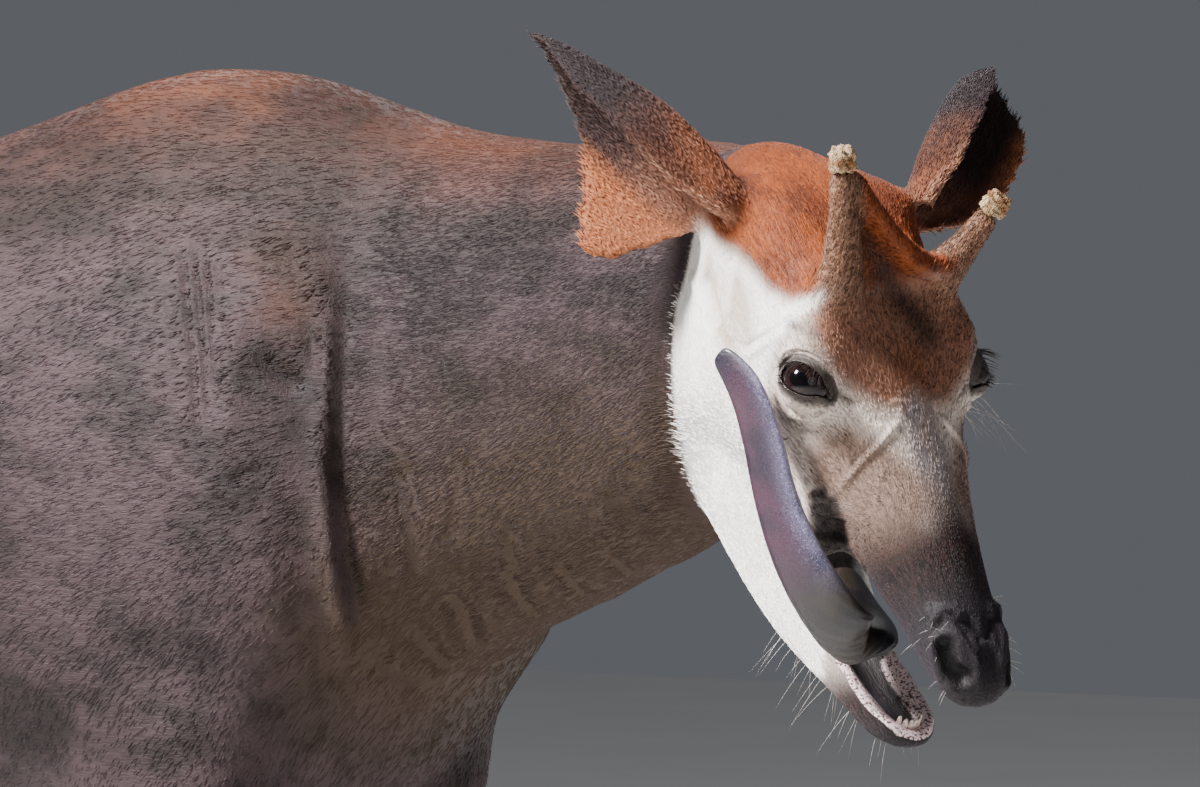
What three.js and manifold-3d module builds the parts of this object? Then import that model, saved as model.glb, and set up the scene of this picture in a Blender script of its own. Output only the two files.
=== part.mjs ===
// A life-size standing okapi with its head lowered and its long tongue curled up along the right cheek.
// Millimetres. +X is forwards along the body, +Y is the animal's left, +Z is up, and the hooves stand on Z = 0.
import * as THREE from "three";
import { mergeVertices, mergeGeometries } from "three/addons/utils/BufferGeometryUtils.js";
import Module from "manifold-3d";

const wasm = await Module();
wasm.setup();
const { Manifold, Mesh: SolidMesh } = wasm;

// Driving dimensions.
const GAP = 0.3; // clearance kept between neighbouring solids
const SHORT_EDGE = 0.12; // edges shorter than this are closed up where an ear meets the skull
const NECK_CUT = 545; // station where the torso ends and the neck starts
const NECK_BEND_START = 450; // station where the neck starts to swing to the right
const NECK_BEND = 4.1e-4; // sideways swing, per millimetre squared
const HEAD_ORIGIN = new THREE.Vector3(868, -72, 1453); // back of the skull, where it meets the neck
const HEAD_YAW = -17; // degrees, to the animal's right
const HEAD_PITCH = 50; // degrees, nose down
const HEAD_ROLL = 3; // degrees
const EYE_CENTRE = new THREE.Vector3(243, 78, 47); // head frame, left eye
const EYE_RADIUS = 22;
const FORE_FOOT = { x: 418, y: 116 }; // centre of the coronet
const HIND_FOOT = { x: -524, y: 118 };
const HOOF_HEIGHT = 74;

const PALETTE = {
  coat: new THREE.MeshStandardMaterial({ color: 0x4a3029, roughness: 0.6, metalness: 0 }),
  face: new THREE.MeshStandardMaterial({ color: 0x8a5538, roughness: 0.65, metalness: 0 }),
  jaw: new THREE.MeshStandardMaterial({ color: 0xe6dfd6, roughness: 0.7, metalness: 0 }),
  stocking: new THREE.MeshStandardMaterial({ color: 0xd8cec2, roughness: 0.7, metalness: 0 }),
  ear: new THREE.MeshStandardMaterial({ color: 0x6b3f2c, roughness: 0.7, metalness: 0 }),
  ossicone: new THREE.MeshStandardMaterial({ color: 0x7a4a35, roughness: 0.6, metalness: 0 }),
  bone: new THREE.MeshStandardMaterial({ color: 0xd9c8a6, roughness: 0.75, metalness: 0 }),
  eye: new THREE.MeshStandardMaterial({ color: 0x120b0c, roughness: 0.05, metalness: 0 }),
  tongue: new THREE.MeshStandardMaterial({ color: 0x3a3a4c, roughness: 0.3, metalness: 0 }),
  tooth: new THREE.MeshStandardMaterial({ color: 0xe0d6cc, roughness: 0.35, metalness: 0 }),
  hoof: new THREE.MeshStandardMaterial({ color: 0x26211f, roughness: 0.45, metalness: 0 }),
  hair: new THREE.MeshStandardMaterial({ color: 0x1d1614, roughness: 0.6, metalness: 0 }),
};

const rad = THREE.MathUtils.degToRad;
const { clamp, lerp } = THREE.MathUtils;
const vec = (x, y, z) => new THREE.Vector3(x, y, z);

// Smooth tracks: a table of rows becomes functions of its first column, without overshoot between rows.
function slopes(xs, ys) {
  const n = xs.length;
  const secant = ys.slice(1).map((y, i) => (y - ys[i]) / (xs[i + 1] - xs[i]));
  const m = ys.map((_, i) => {
    if (i === 0) return secant[0];
    if (i === n - 1) return secant[n - 2];
    const [a, b] = [secant[i - 1], secant[i]];
    return a * b <= 0 ? 0 : (2 * a * b) / (a + b);
  });
  return m;
}

function track(rows) {
  const xs = rows.map((r) => r[0]);
  const columns = rows[0].slice(1).map((_, c) => rows.map((r) => r[c + 1]));
  const tangents = columns.map((ys) => slopes(xs, ys));
  return (x) => {
    const at = clamp(x, xs[0], xs[xs.length - 1]);
    let i = 0;
    while (i < xs.length - 2 && at > xs[i + 1]) i++;
    const h = xs[i + 1] - xs[i];
    const t = (at - xs[i]) / h;
    const [t2, t3] = [t * t, t * t * t];
    return columns.map(
      (ys, c) =>
        (2 * t3 - 3 * t2 + 1) * ys[i] +
        (t3 - 2 * t2 + t) * h * tangents[c][i] +
        (3 * t2 - 2 * t3) * ys[i + 1] +
        (t3 - t2) * h * tangents[c][i + 1],
    );
  };
}

const power = (v, e) => Math.sign(v) * Math.abs(v) ** (2 / e);

// An egg-shaped section: unit offsets across and up at an angle, with its own fullness above and below the widest level.
function eggPoint(angle, half, up, down, topFull, lowFull) {
  const [c, s] = [Math.cos(angle), Math.sin(angle)];
  const e = s > 0 ? topFull : lowFull;
  return [half * power(c, e), (s > 0 ? up : down) * power(s, e)];
}

// Swellings and hollows: a soft lobe round a point, or a ridge along a segment, lifts the surface along its normal.
const lobe = (at, size, lift) => ({ at: vec(...at), size: vec(...size), lift });
const ridge = (from, to, radius, lift) => ({ from: vec(...from), to: vec(...to), radius, lift });
const mirrored = (list) =>
  list.flatMap((b) => {
    const flip = (v) => v && vec(v.x, -v.y, v.z);
    return [b, { ...b, at: flip(b.at), from: flip(b.from), to: flip(b.to) }];
  });

const segment = new THREE.Line3();
const nearest = new THREE.Vector3();
function liftAt(p, bumps) {
  let lift = 0;
  for (const b of bumps) {
    if (b.at) {
      const q = ((p.x - b.at.x) / b.size.x) ** 2 + ((p.y - b.at.y) / b.size.y) ** 2 + ((p.z - b.at.z) / b.size.z) ** 2;
      lift += b.lift * Math.exp(-q);
    } else {
      segment.set(b.from, b.to).closestPointToPoint(p, true, nearest);
      lift += b.lift * Math.exp(-p.distanceToSquared(nearest) / b.radius ** 2);
    }
  }
  return lift;
}

// Moves every point of a grid of rings along the grid's outward normal, by its bumps and by grow.
function swell(rings, bumps, grow) {
  const n = rings[0].length;
  const last = rings.length - 1;
  return rings.map((ring, i) => {
    const centre = ring.reduce((sum, p) => sum.add(p), vec(0, 0, 0)).divideScalar(n);
    return ring.map((p, j) => {
      const along = rings[Math.min(i + 1, last)][j].clone().sub(rings[Math.max(i - 1, 0)][j]);
      const around = ring[(j + 1) % n].clone().sub(ring[(j + n - 1) % n]);
      const normal = along.cross(around).normalize();
      if (normal.dot(p.clone().sub(centre)) < 0) normal.negate();
      return p.clone().addScaledVector(normal, liftAt(p, bumps) + grow);
    });
  });
}

// A closed skin over a list of rings, with a fan over each end.
function skinOver(rings, endGrow = 0) {
  const n = rings[0].length;
  const points = rings.flat();
  const index = [];
  for (let i = 0; i < rings.length - 1; i++)
    for (let j = 0; j < n; j++) {
      const [a, b] = [i * n + j, i * n + ((j + 1) % n)];
      index.push(a, b, b + n, a, b + n, a + n);
    }
  const fan = (ring, neighbour, start, reversed) => {
    const middle = ring.reduce((sum, p) => sum.add(p), vec(0, 0, 0)).divideScalar(n);
    const inner = neighbour.reduce((sum, p) => sum.add(p), vec(0, 0, 0)).divideScalar(n);
    middle.addScaledVector(middle.clone().sub(inner).normalize(), endGrow);
    points.push(middle);
    const hub = points.length - 1;
    for (let j = 0; j < n; j++) {
      const [a, b] = [start + j, start + ((j + 1) % n)];
      index.push(hub, ...(reversed ? [a, b] : [b, a]));
    }
  };
  fan(rings[0], rings[1], 0, false);
  fan(rings[rings.length - 1], rings[rings.length - 2], (rings.length - 1) * n, true);
  const geometry = new THREE.BufferGeometry().setFromPoints(points);
  geometry.setIndex(index);
  return geometry;
}

// Conversions between three.js geometry and closed solids.
function solidOf(geometry) {
  const plain = geometry.clone();
  plain.deleteAttribute("normal");
  plain.deleteAttribute("uv");
  const merged = mergeVertices(plain, 1e-4);
  const make = (triVerts) =>
    new Manifold(new SolidMesh({ numProp: 3, vertProperties: merged.attributes.position.array, triVerts }));
  const solid = make(new Uint32Array(merged.index.array));
  if (solid.volume() > 0) return solid;
  const turned = new Uint32Array(merged.index.array);
  for (let i = 0; i < turned.length; i += 3) [turned[i + 1], turned[i + 2]] = [turned[i + 2], turned[i + 1]];
  return make(turned);
}

const largest = (solid) => solid.decompose().reduce((a, b) => (b.volume() > a.volume() ? b : a));

function geometryOf(solid) {
  const mesh = solid.getMesh();
  const positions = new Float32Array(mesh.numVert * 3);
  for (let i = 0; i < mesh.numVert; i++)
    positions.set(mesh.vertProperties.subarray(i * mesh.numProp, i * mesh.numProp + 3), i * 3);
  const geometry = new THREE.BufferGeometry();
  geometry.setAttribute("position", new THREE.BufferAttribute(positions, 3));
  geometry.setIndex(new THREE.BufferAttribute(new Uint32Array(mesh.triVerts), 1));
  geometry.computeVertexNormals();
  return geometry;
}

const fuse = (solids) => solids.reduce((a, b) => a.add(b));

// Torso and neck: one run of sections from the buttocks to the throat.
// Columns: station, top, bottom, half width, level of the widest point, fullness above, fullness below.
const trunkAt = track([
  [-730, 1318, 1215, 42, 1265, 2.0, 2.0],
  [-715, 1352, 1150, 84, 1245, 2.0, 2.0],
  [-680, 1388, 1082, 132, 1225, 2.0, 2.0],
  [-620, 1418, 1015, 174, 1205, 2.0, 2.1],
  [-540, 1438, 965, 202, 1190, 2.0, 2.2],
  [-440, 1449, 925, 218, 1180, 2.0, 2.2],
  [-330, 1453, 893, 228, 1165, 2.0, 2.2],
  [-200, 1455, 868, 237, 1140, 2.0, 2.2],
  [-60, 1465, 850, 244, 1125, 2.0, 2.2],
  [80, 1496, 844, 244, 1120, 1.9, 2.2],
  [190, 1534, 846, 236, 1125, 1.8, 2.2],
  [286, 1555, 854, 224, 1140, 1.75, 2.2],
  [370, 1549, 874, 212, 1160, 1.75, 2.2],
  [430, 1533, 908, 200, 1180, 1.8, 2.3],
  [475, 1517, 950, 194, 1195, 1.85, 2.4],
  [520, 1504, 1012, 166, 1215, 1.9, 2.4],
  [580, 1494, 1058, 144, 1250, 1.95, 2.3],
  [640, 1489, 1078, 130, 1272, 1.95, 2.2],
  [720, 1488, 1108, 116, 1292, 2.0, 2.1],
  [800, 1488, 1146, 106, 1308, 2.0, 2.1],
  [850, 1487, 1168, 99, 1316, 2.0, 2.1],
  [885, 1480, 1190, 86, 1322, 2.0, 2.1],
  [912, 1462, 1224, 62, 1330, 2.0, 2.0],
  [926, 1425, 1268, 32, 1340, 2.0, 2.0],
]);

const TRUNK_BUMPS = mirrored([
  lobe([340, 200, 1250], [130, 90, 220], 20), // shoulder blade and its muscles
  ridge([250, 110, 1500], [430, 190, 1160], 30, 9), // spine of the shoulder blade
  lobe([534, 160, 1320], [34, 80, 150], -15), // hollow in front of the shoulder
  lobe([478, 165, 1100], [58, 60, 80], 22), // point of the shoulder
  lobe([300, 222, 1000], [115, 70, 105], 20), // upper arm
  lobe([150, 240, 1080], [70, 60, 150], -8), // behind the shoulder
  lobe([-390, 175, 1350], [80, 70, 60], 10), // point of the hip
  lobe([-500, 200, 1110], [170, 80, 180], 24), // thigh
  lobe([-215, 235, 1215], [65, 70, 120], -15), // flank hollow
  lobe([-700, 60, 1290], [40, 40, 40], 12), // pin bone
]);

// The neck swings to the animal's right in front of the shoulders.
function bend(p) {
  const ahead = Math.max(0, p.x - NECK_BEND_START);
  const heading = -Math.atan(2 * NECK_BEND * ahead);
  return vec(p.x - p.y * Math.sin(heading), -NECK_BEND * ahead ** 2 + p.y * Math.cos(heading), p.z);
}

function trunkRings(stations, around, grow) {
  const rings = stations.map((x) => {
    const [top, bottom, half, level, topFull, lowFull] = trunkAt(x);
    return Array.from({ length: around }, (_, j) => {
      const [y, z] = eggPoint((j / around) * 2 * Math.PI, half, top - level, level - bottom, topFull, lowFull);
      return vec(x, y, level + z);
    });
  });
  return swell(rings, TRUNK_BUMPS, grow).map((ring) => ring.map(bend));
}

const TRUNK_STATIONS = [
  ...[-730, -722, -705, -680, -645, -600, -550, -495, -435, -370, -300, -225, -150, -70, 10, 85, 150, 205],
  ...[255, 300, 345, 388, 425, 455, 482, 508, 534, 562, 600, 650, 710, 765, 815, 860, 890, 910, 926],
];
const TRUNK_AROUND = 30;
const trunkSolid = (grow) => solidOf(skinOver(trunkRings(TRUNK_STATIONS, TRUNK_AROUND, grow), grow));

// The two halves of a solid, parted by a thin cut across a point.
function parted(solid, point, direction) {
  const along = direction.clone().normalize();
  const offset = point.dot(along);
  const behind = solid.trimByPlane(along.clone().negate().toArray(), -(offset - GAP / 2));
  const ahead = solid.trimByPlane(along.toArray(), offset + GAP / 2);
  return [largest(behind), largest(ahead)];
}

function torsoAndNeck() {
  const point = bend(vec(NECK_CUT, 0, 0));
  const heading = -Math.atan(2 * NECK_BEND * (NECK_CUT - NECK_BEND_START));
  return parted(trunkSolid(0), point, vec(Math.cos(heading), Math.sin(heading), 0));
}

// Head frame: x runs from the back of the skull to the nose, y to the animal's left, z to the forehead.
const headPose = new THREE.Matrix4()
  .makeTranslation(HEAD_ORIGIN.x, HEAD_ORIGIN.y, HEAD_ORIGIN.z)
  .multiply(new THREE.Matrix4().makeRotationZ(rad(HEAD_YAW)))
  .multiply(new THREE.Matrix4().makeRotationY(rad(HEAD_PITCH)))
  .multiply(new THREE.Matrix4().makeRotationX(rad(HEAD_ROLL)));
const inHead = (geometry) => geometry.applyMatrix4(headPose);

// Columns: station, top, bottom, half width, level of the widest point, fullness above, fullness below.
const skullAt = track([
  [-12, 30, -24, 22, 2, 2.0, 2.0],
  [-4, 52, -46, 42, 2, 2.0, 2.0],
  [12, 66, -64, 58, 2, 2.1, 2.0],
  [35, 76, -80, 68, 2, 2.3, 2.1],
  [65, 84, -96, 76, 6, 2.5, 2.2],
  [95, 89, -112, 83, 9, 2.6, 2.2],
  [125, 93, -128, 91, 8, 2.6, 2.3],
  [155, 96, -136, 95, 8, 2.5, 2.4],
  [190, 96, -126, 90, 24, 2.5, 2.3],
  [225, 89, -108, 85, 34, 2.5, 2.2],
  [260, 79, -87, 78, 28, 2.3, 2.2],
  [300, 63, -68, 65, 12, 2.2, 2.2],
  [345, 49, -55, 53, -4, 2.2, 2.4],
  [400, 33, -49, 43, -12, 2.2, 2.6],
  [445, 20, -48, 38, -16, 2.2, 2.6],
  [475, 12, -48, 37, -18, 2.2, 2.5],
  [497, 2, -48, 34, -20, 2.1, 2.3],
  [513, -8, -44, 26, -25, 2.0, 2.0],
  [520, -19, -35, 11, -27, 2.0, 2.0],
]);
const HEAD_BUMPS = [
  ...mirrored([
    lobe([238, 88, 74], [34, 26, 20], 25), // brow over the eye
    lobe([212, 80, 88], [34, 28, 24], 14), // brow between the eye and the ossicone
    lobe([250, 90, 20], [46, 26, 16], 5), // cheekbone under the eye
    ridge([232, 90, 14], [330, 60, -14], 18, 5), // facial crest
    lobe([292, 66, 36], [24, 22, 18], -5), // hollow in front of the eye
    lobe([150, 90, -80], [50, 40, 44], 8), // cheek muscle
    lobe([150, 88, 56], [40, 26, 22], -7), // temple
    lobe([186, 50, 100], [34, 26, 20], 13), // foot of the ossicone
    lobe([72, 80, 50], [34, 30, 34], 12), // root of the ear
    lobe([484, 32, -2], [18, 14, 15], 5), // wing of the nostril
    ridge([350, 48, -47], [484, 34, -44], 9, 4), // upper lip
  ]),
  lobe([90, 0, 100], [50, 60, 30], 5), // crown
  lobe([98, 58, 92], [46, 36, 36], 26), // crown's shoulder towards the left ear
  lobe([98, -58, 92], [46, 36, 36], 10), // crown's shoulder towards the right ear
];
const HEAD_STATIONS = [
  ...[-12, -8, 2, 18, 40, 64, 88, 112, 136, 158, 178, 198, 217, 235, 253, 272, 294, 320, 350, 382, 412, 438],
  ...[458, 474, 487, 498, 508, 515, 520],
];
const HEAD_AROUND = 30;

function sectionRings(at, stations, around) {
  return stations.map((x) => {
    const [top, bottom, half, level, topFull, lowFull] = at(x);
    return Array.from({ length: around }, (_, j) => {
      const [y, z] = eggPoint((j / around) * 2 * Math.PI, half, top - level, level - bottom, topFull, lowFull);
      return vec(x, y, level + z);
    });
  });
}

function ball(centre, radii, width = 18, height = 12, turn = [0, 0, 0]) {
  return new THREE.SphereGeometry(1, width, height)
    .scale(...radii)
    .applyMatrix4(new THREE.Matrix4().makeRotationFromEuler(new THREE.Euler(...turn.map(rad))))
    .translate(...centre);
}

// The almond opening between the lids, cut outwards from the middle of the eyeball.
const EYE_OPENING = { length: 46, height: 31, tilt: 32, out: 40, aim: [0.2, 0.8, 0.56] };
function lidOpening(side) {
  const { length, height, tilt, out, aim } = EYE_OPENING;
  const shape = new THREE.Shape();
  shape.moveTo(-length / 2, -1);
  shape.quadraticCurveTo(-length * 0.12, height * 0.98, length / 2, -2);
  shape.quadraticCurveTo(length * 0.02, -height * 0.98, -length / 2, -1);
  const prism = new THREE.ExtrudeGeometry(shape, { depth: out, bevelEnabled: false, curveSegments: 6 });
  const outwards = vec(...aim).normalize();
  const forwards = vec(1, 0, 0).addScaledVector(outwards, -outwards.x).normalize();
  const upwards = forwards.clone().cross(outwards);
  const frame = new THREE.Matrix4().makeBasis(forwards, upwards.negate(), outwards);
  prism.rotateZ(rad(-tilt)).applyMatrix4(frame);
  if (side < 0) prism.applyMatrix4(new THREE.Matrix4().makeScale(1, -1, 1));
  prism.translate(EYE_CENTRE.x, side * EYE_CENTRE.y, EYE_CENTRE.z);
  return solidOf(prism);
}

const sides = [
  ["right", -1],
  ["left", 1],
];
const eyeBall = (side, grow) =>
  solidOf(ball([EYE_CENTRE.x, side * EYE_CENTRE.y, EYE_CENTRE.z], Array(3).fill(EYE_RADIUS + grow), 14, 9));

// Mouth and nose in the head frame.
const CORNER_OF_MOUTH = 286;
const nostrilCut = (side) =>
  fuse([
    solidOf(ball([497, side * 37, -4], [15, 9, 6.5], 14, 8, [0, 24, side * -30])),
    solidOf(ball([488, side * 40, 5], [8, 7, 5], 12, 8, [0, 30, side * -30])),
  ]);
const palateCut = solidOf(
  skinOver(
    sectionRings(
      track([
        [CORNER_OF_MOUTH + 14, -50, -75, 10, -62, 2, 2],
        [340, -37, -85, 30, -66, 2.2, 2],
        [420, -31, -85, 27, -66, 2.2, 2],
        [470, -33, -85, 23, -66, 2.2, 2],
        [492, -42, -80, 10, -64, 2.2, 2],
      ]),
      [CORNER_OF_MOUTH + 14, 320, 350, 390, 430, 460, 480, 492],
      14,
    ),
  ),
);

// A roll of skin hangs between the ossicones, from the right one's tip to the left one's foot, on a thin web.
const ROLL_PATH = [
  [133, -55, 184],
  [152, -37, 163],
  [171, -14, 143],
  [183, 12, 126],
  [190, 34, 119],
  [190, 50, 122],
];
const ROLL_HALVES = [
  [5, 5],
  [9, 9],
  [11, 11],
  [12, 12],
  [12, 12],
  [10, 10],
];
const WEB_PATH = [
  [150, -54, 138],
  [160, -34, 128],
  [172, -10, 116],
  [182, 14, 106],
  [186, 34, 100],
];
const WEB_HALVES = [
  [20, 5],
  [27, 6],
  [26, 7],
  [20, 7],
  [14, 7],
];
const foreheadRoll = (grow) =>
  fuse([
    solidOf(sweep(ROLL_PATH, ROLL_HALVES, () => vec(0.8, 0, -0.5), 9, 9, grow)),
    solidOf(sweep(WEB_PATH, WEB_HALVES, () => vec(0.9, 0.3, 0.3), 6, 8, grow)),
  ]);

// Skin stretched between the jaws at each corner of the mouth.
const cheekWebs = (grow) =>
  fuse(sides.map(([, side]) => solidOf(ball([318, side * 50, -50], [29 + grow, 12 + grow, 29 + grow], 12, 8))));

function skullSolid(grow) {
  const core = solidOf(inHead(skinOver(swell(sectionRings(skullAt, HEAD_STATIONS, HEAD_AROUND), HEAD_BUMPS, grow), grow)));
  return fuse([core, toHead(foreheadRoll(grow)), toHead(cheekWebs(grow))]);
}

function headSolid() {
  const lids = sides.map(([, side]) =>
    solidOf(ball([EYE_CENTRE.x, side * EYE_CENTRE.y, EYE_CENTRE.z], Array(3).fill(EYE_RADIUS + 4), 18, 12)),
  );
  const whole = fuse([skullSolid(0), ...lids.map(toHead)]);
  const cuts = [
    toHead(palateCut),
    ...sides.flatMap(([, side]) => [lidOpening(side), eyeBall(side, GAP), nostrilCut(side)]).map(toHead),
  ];
  return largest(whole.subtract(fuse(cuts)));
}
const toHead = (solid) => solid.transform(headPose.elements);

// Lower jaw, open by a hand's width at the lips.
const jawAt = track([
  [112, -84, -134, 32, -112, 2.0, 2.0],
  [124, -78, -156, 52, -116, 2.0, 2.0],
  [155, -76, -170, 66, -118, 2.2, 2.2],
  [205, -78, -180, 65, -128, 2.2, 2.2],
  [255, -82, -186, 56, -138, 2.2, 2.2],
  [282, -90, -187, 52, -142, 2.2, 2.2],
  [320, -108, -185, 47, -144, 2.3, 2.2],
  [370, -114, -174, 40, -142, 2.4, 2.2],
  [415, -114, -158, 36, -135, 2.4, 2.2],
  [450, -110, -147, 34, -128, 2.4, 2.2],
  [470, -108, -139, 31, -123, 2.3, 2.1],
  [484, -107, -131, 23, -119, 2.1, 2.0],
  [492, -112, -125, 9, -118, 2.0, 2.0],
]);
const JAW_STATIONS = [112, 117, 128, 150, 180, 215, 250, 278, 300, 330, 365, 400, 432, 456, 472, 483, 492];
const JAW_BUMPS = [
  ...mirrored([ridge([350, 38, -110], [466, 30, -107], 7, 3)]), // lower lip
  lobe([464, 0, -144], [26, 24, 14], 4), // chin
];
const jawTrough = solidOf(
  skinOver(
    sectionRings(
      track([
        [296, -84, -118, 8, -100, 2, 2],
        [340, -76, -136, 28, -104, 2, 2.4],
        [400, -76, -140, 25, -104, 2, 2.4],
        [450, -76, -130, 22, -100, 2, 2.4],
        [470, -76, -123, 17, -98, 2, 2.4],
        [480, -80, -117, 8, -98, 2, 2.4],
      ]),
      [296, 318, 350, 390, 425, 455, 470, 480],
      12,
    ),
  ),
);
const jawShell = (grow) =>
  solidOf(inHead(skinOver(swell(sectionRings(jawAt, JAW_STATIONS, 20), JAW_BUMPS, grow), grow)));
const lowerJawSolid = () => largest(jawShell(0).subtract(fuse([skullSolid(GAP), toHead(jawTrough)])));

// Front teeth of the lower jaw: eight spade-shaped crowns fused to one arched root.
const TEETH = { count: 8, arch: 15, front: 474, level: -114, crown: 12, spread: 62 };
function lowerTeeth(grow) {
  const crowns = Array.from({ length: TEETH.count }, (_, i) => {
    const angle = rad(lerp(-TEETH.spread, TEETH.spread, i / (TEETH.count - 1)));
    const middle = 1 - 0.35 * Math.abs(i - (TEETH.count - 1) / 2) / ((TEETH.count - 1) / 2);
    const x = TEETH.front - TEETH.arch * (1 - Math.cos(angle)) * 1.5;
    const y = TEETH.arch * Math.sin(angle);
    return ball([x, y, TEETH.level], [2 + grow, 2.9 * middle + grow, TEETH.crown * middle * 0.75 + grow], 6, 5, [
      0,
      -18,
      THREE.MathUtils.radToDeg(angle),
    ]);
  });
  const root = Array.from({ length: 5 }, (_, i) => {
    const angle = rad(lerp(-TEETH.spread, TEETH.spread, i / 4));
    const x = TEETH.front - TEETH.arch * (1 - Math.cos(angle)) * 1.5;
    return ball([x - 1, TEETH.arch * Math.sin(angle), TEETH.level - 4], [5 + grow, 7 + grow, 4 + grow], 6, 4);
  });
  return toHead(fuse([...crowns, ...root].map(solidOf)));
}

// Sweeps an oval section along a smooth path. rows: point, half width, half thickness. face turns the flat side outwards.
function sweep(points, halves, faceAt, steps, around, grow = 0) {
  const curve = new THREE.CatmullRomCurve3(points.map((p) => vec(...p)), false, "centripetal");
  const sizeAt = track(halves.map((h, i) => [i / (halves.length - 1), ...h]));
  const rings = Array.from({ length: steps + 1 }, (_, i) => {
    const t = i / steps;
    const centre = curve.getPoint(t);
    const tangent = curve.getTangent(t);
    const face = faceAt(t).clone().addScaledVector(tangent, -faceAt(t).dot(tangent)).normalize();
    const across = tangent.clone().cross(face);
    const [half, thick] = sizeAt(t);
    return Array.from({ length: around }, (_, j) => {
      const [a, b] = eggPoint((j / around) * 2 * Math.PI, half + grow, thick + grow, thick + grow, 2, 2);
      return centre.clone().addScaledVector(across, a).addScaledVector(face, b);
    });
  });
  return skinOver(rings, grow);
}

// Tongue, from inside the mouth over the right lower lip and back along the cheek to below the eye.
const TONGUE_PATH = [
  [322, -1, -106],
  [362, -4, -104],
  [392, -13, -96],
  [408, -36, -83],
  [399, -62, -68],
  [358, -83, -53],
  [306, -95, -33],
  [256, -105, 0],
  [222, -115, 19],
  [186, -122, 18],
];
const TONGUE_HALVES = [
  [16, 9],
  [22, 11],
  [26, 13],
  [28, 14],
  [30, 13],
  [28, 12],
  [24, 10],
  [22, 8],
  [19, 6],
  [10, 3.5],
];
const tongueSolid = (grow) =>
  toHead(
    solidOf(
      sweep(
        TONGUE_PATH,
        TONGUE_HALVES,
        (t) => vec(0.1, -Math.sin(clamp((t - 0.12) / 0.35, 0, 1) * 1.45), Math.cos(clamp((t - 0.12) / 0.35, 0, 1) * 1.45)),
        20,
        12,
        grow,
      ),
    ),
  );

// An ear: a folded leaf on a short tube. near is the front flap and far the rear one, both seen from the spine.
// Columns: share of the length, half width, depth of the front flap, depth of the rear flap, spine set-back, half angle, wall.
const laidBackEarAt = track([
  [-0.08, 24, 34, 34, 28, 150, 6],
  [0.02, 28, 42, 66, 32, 130, 5.5],
  [0.12, 31, 50, 112, 36, 112, 5],
  [0.22, 34, 54, 138, 38, 104, 4.6],
  [0.34, 36, 53, 122, 38, 98, 4.2],
  [0.5, 35, 47, 75, 35, 92, 3.8],
  [0.7, 28, 35, 41, 25, 88, 3.4],
  [0.85, 17, 19, 22, 18, 84, 3.0],
  [0.95, 8, 9, 10, 10, 80, 2.6],
  [1.0, 3, 3.5, 4, 6, 80, 2.2],
]);
const raisedEarAt = track([
  [-0.08, 20, 34, 34, 20, 150, 6],
  [0.02, 25, 42, 62, 26, 130, 5.5],
  [0.12, 30, 48, 72, 27, 112, 5],
  [0.22, 34, 52, 80, 30, 104, 4.6],
  [0.34, 37, 54, 86, 33, 98, 4.2],
  [0.5, 38, 56, 90, 35, 92, 3.8],
  [0.7, 36, 53, 90, 36, 88, 3.5],
  [0.85, 30, 44, 72, 33, 84, 3.4],
  [0.94, 21, 24, 40, 23, 78, 3.2],
  [1.0, 10, 3.5, 5, 8, 70, 3.0],
]);
const EAR_STEPS = [-0.08, 0, 0.08, 0.16, 0.25, 0.35, 0.46, 0.58, 0.7, 0.8, 0.88, 0.94, 0.98, 1];
function earSolid({ root, tip, opening, curl, scale, leafAt }) {
  const base = vec(...root);
  const axis = vec(...tip).sub(base);
  const length = axis.length();
  axis.normalize();
  const open = vec(...opening).addScaledVector(axis, -vec(...opening).dot(axis)).normalize();
  const across = axis.clone().cross(open);
  const arc = 8;
  const rings = EAR_STEPS.map((s) => {
    const [half, front, rear, setBack, angle, wall] = leafAt(s);
    const centre = base.clone().addScaledVector(axis, s * length);
    const reach = 1 - Math.cos(rad(angle));
    const point = (t, inset) => {
      const a = t * rad(angle);
      const flap = lerp(front, rear, clamp(0.5 - t * curl, 0, 1)) * scale;
      const x = (half * scale - inset) * Math.sin(a);
      const y = ((flap - inset * 0.5) * (1 - Math.cos(a))) / reach + inset * Math.cos(Math.min(Math.abs(a), Math.PI / 2));
      return centre.clone().addScaledVector(across, x).addScaledVector(open, y - setBack * scale);
    };
    const outer = Array.from({ length: arc + 1 }, (_, j) => point(-1 + (2 * j) / arc, 0));
    const inner = Array.from({ length: arc + 1 }, (_, j) => point(1 - (2 * j) / arc, wall));
    return [...outer, ...inner];
  });
  return toHead(largest(solidOf(skinOver(rings))));
}
const EARS = {
  right: {
    root: [64, -86, 52],
    tip: [-112, -196, 66],
    opening: [0.34, -0.66, -0.68],
    curl: 0.5,
    scale: 1,
    leafAt: laidBackEarAt,
  },
  left: {
    root: [99, 96, 84],
    tip: [-38, 246, 76],
    opening: [0.76, 0.51, 0.43],
    curl: -0.5,
    scale: 0.86,
    leafAt: raisedEarAt,
  },
};

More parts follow.
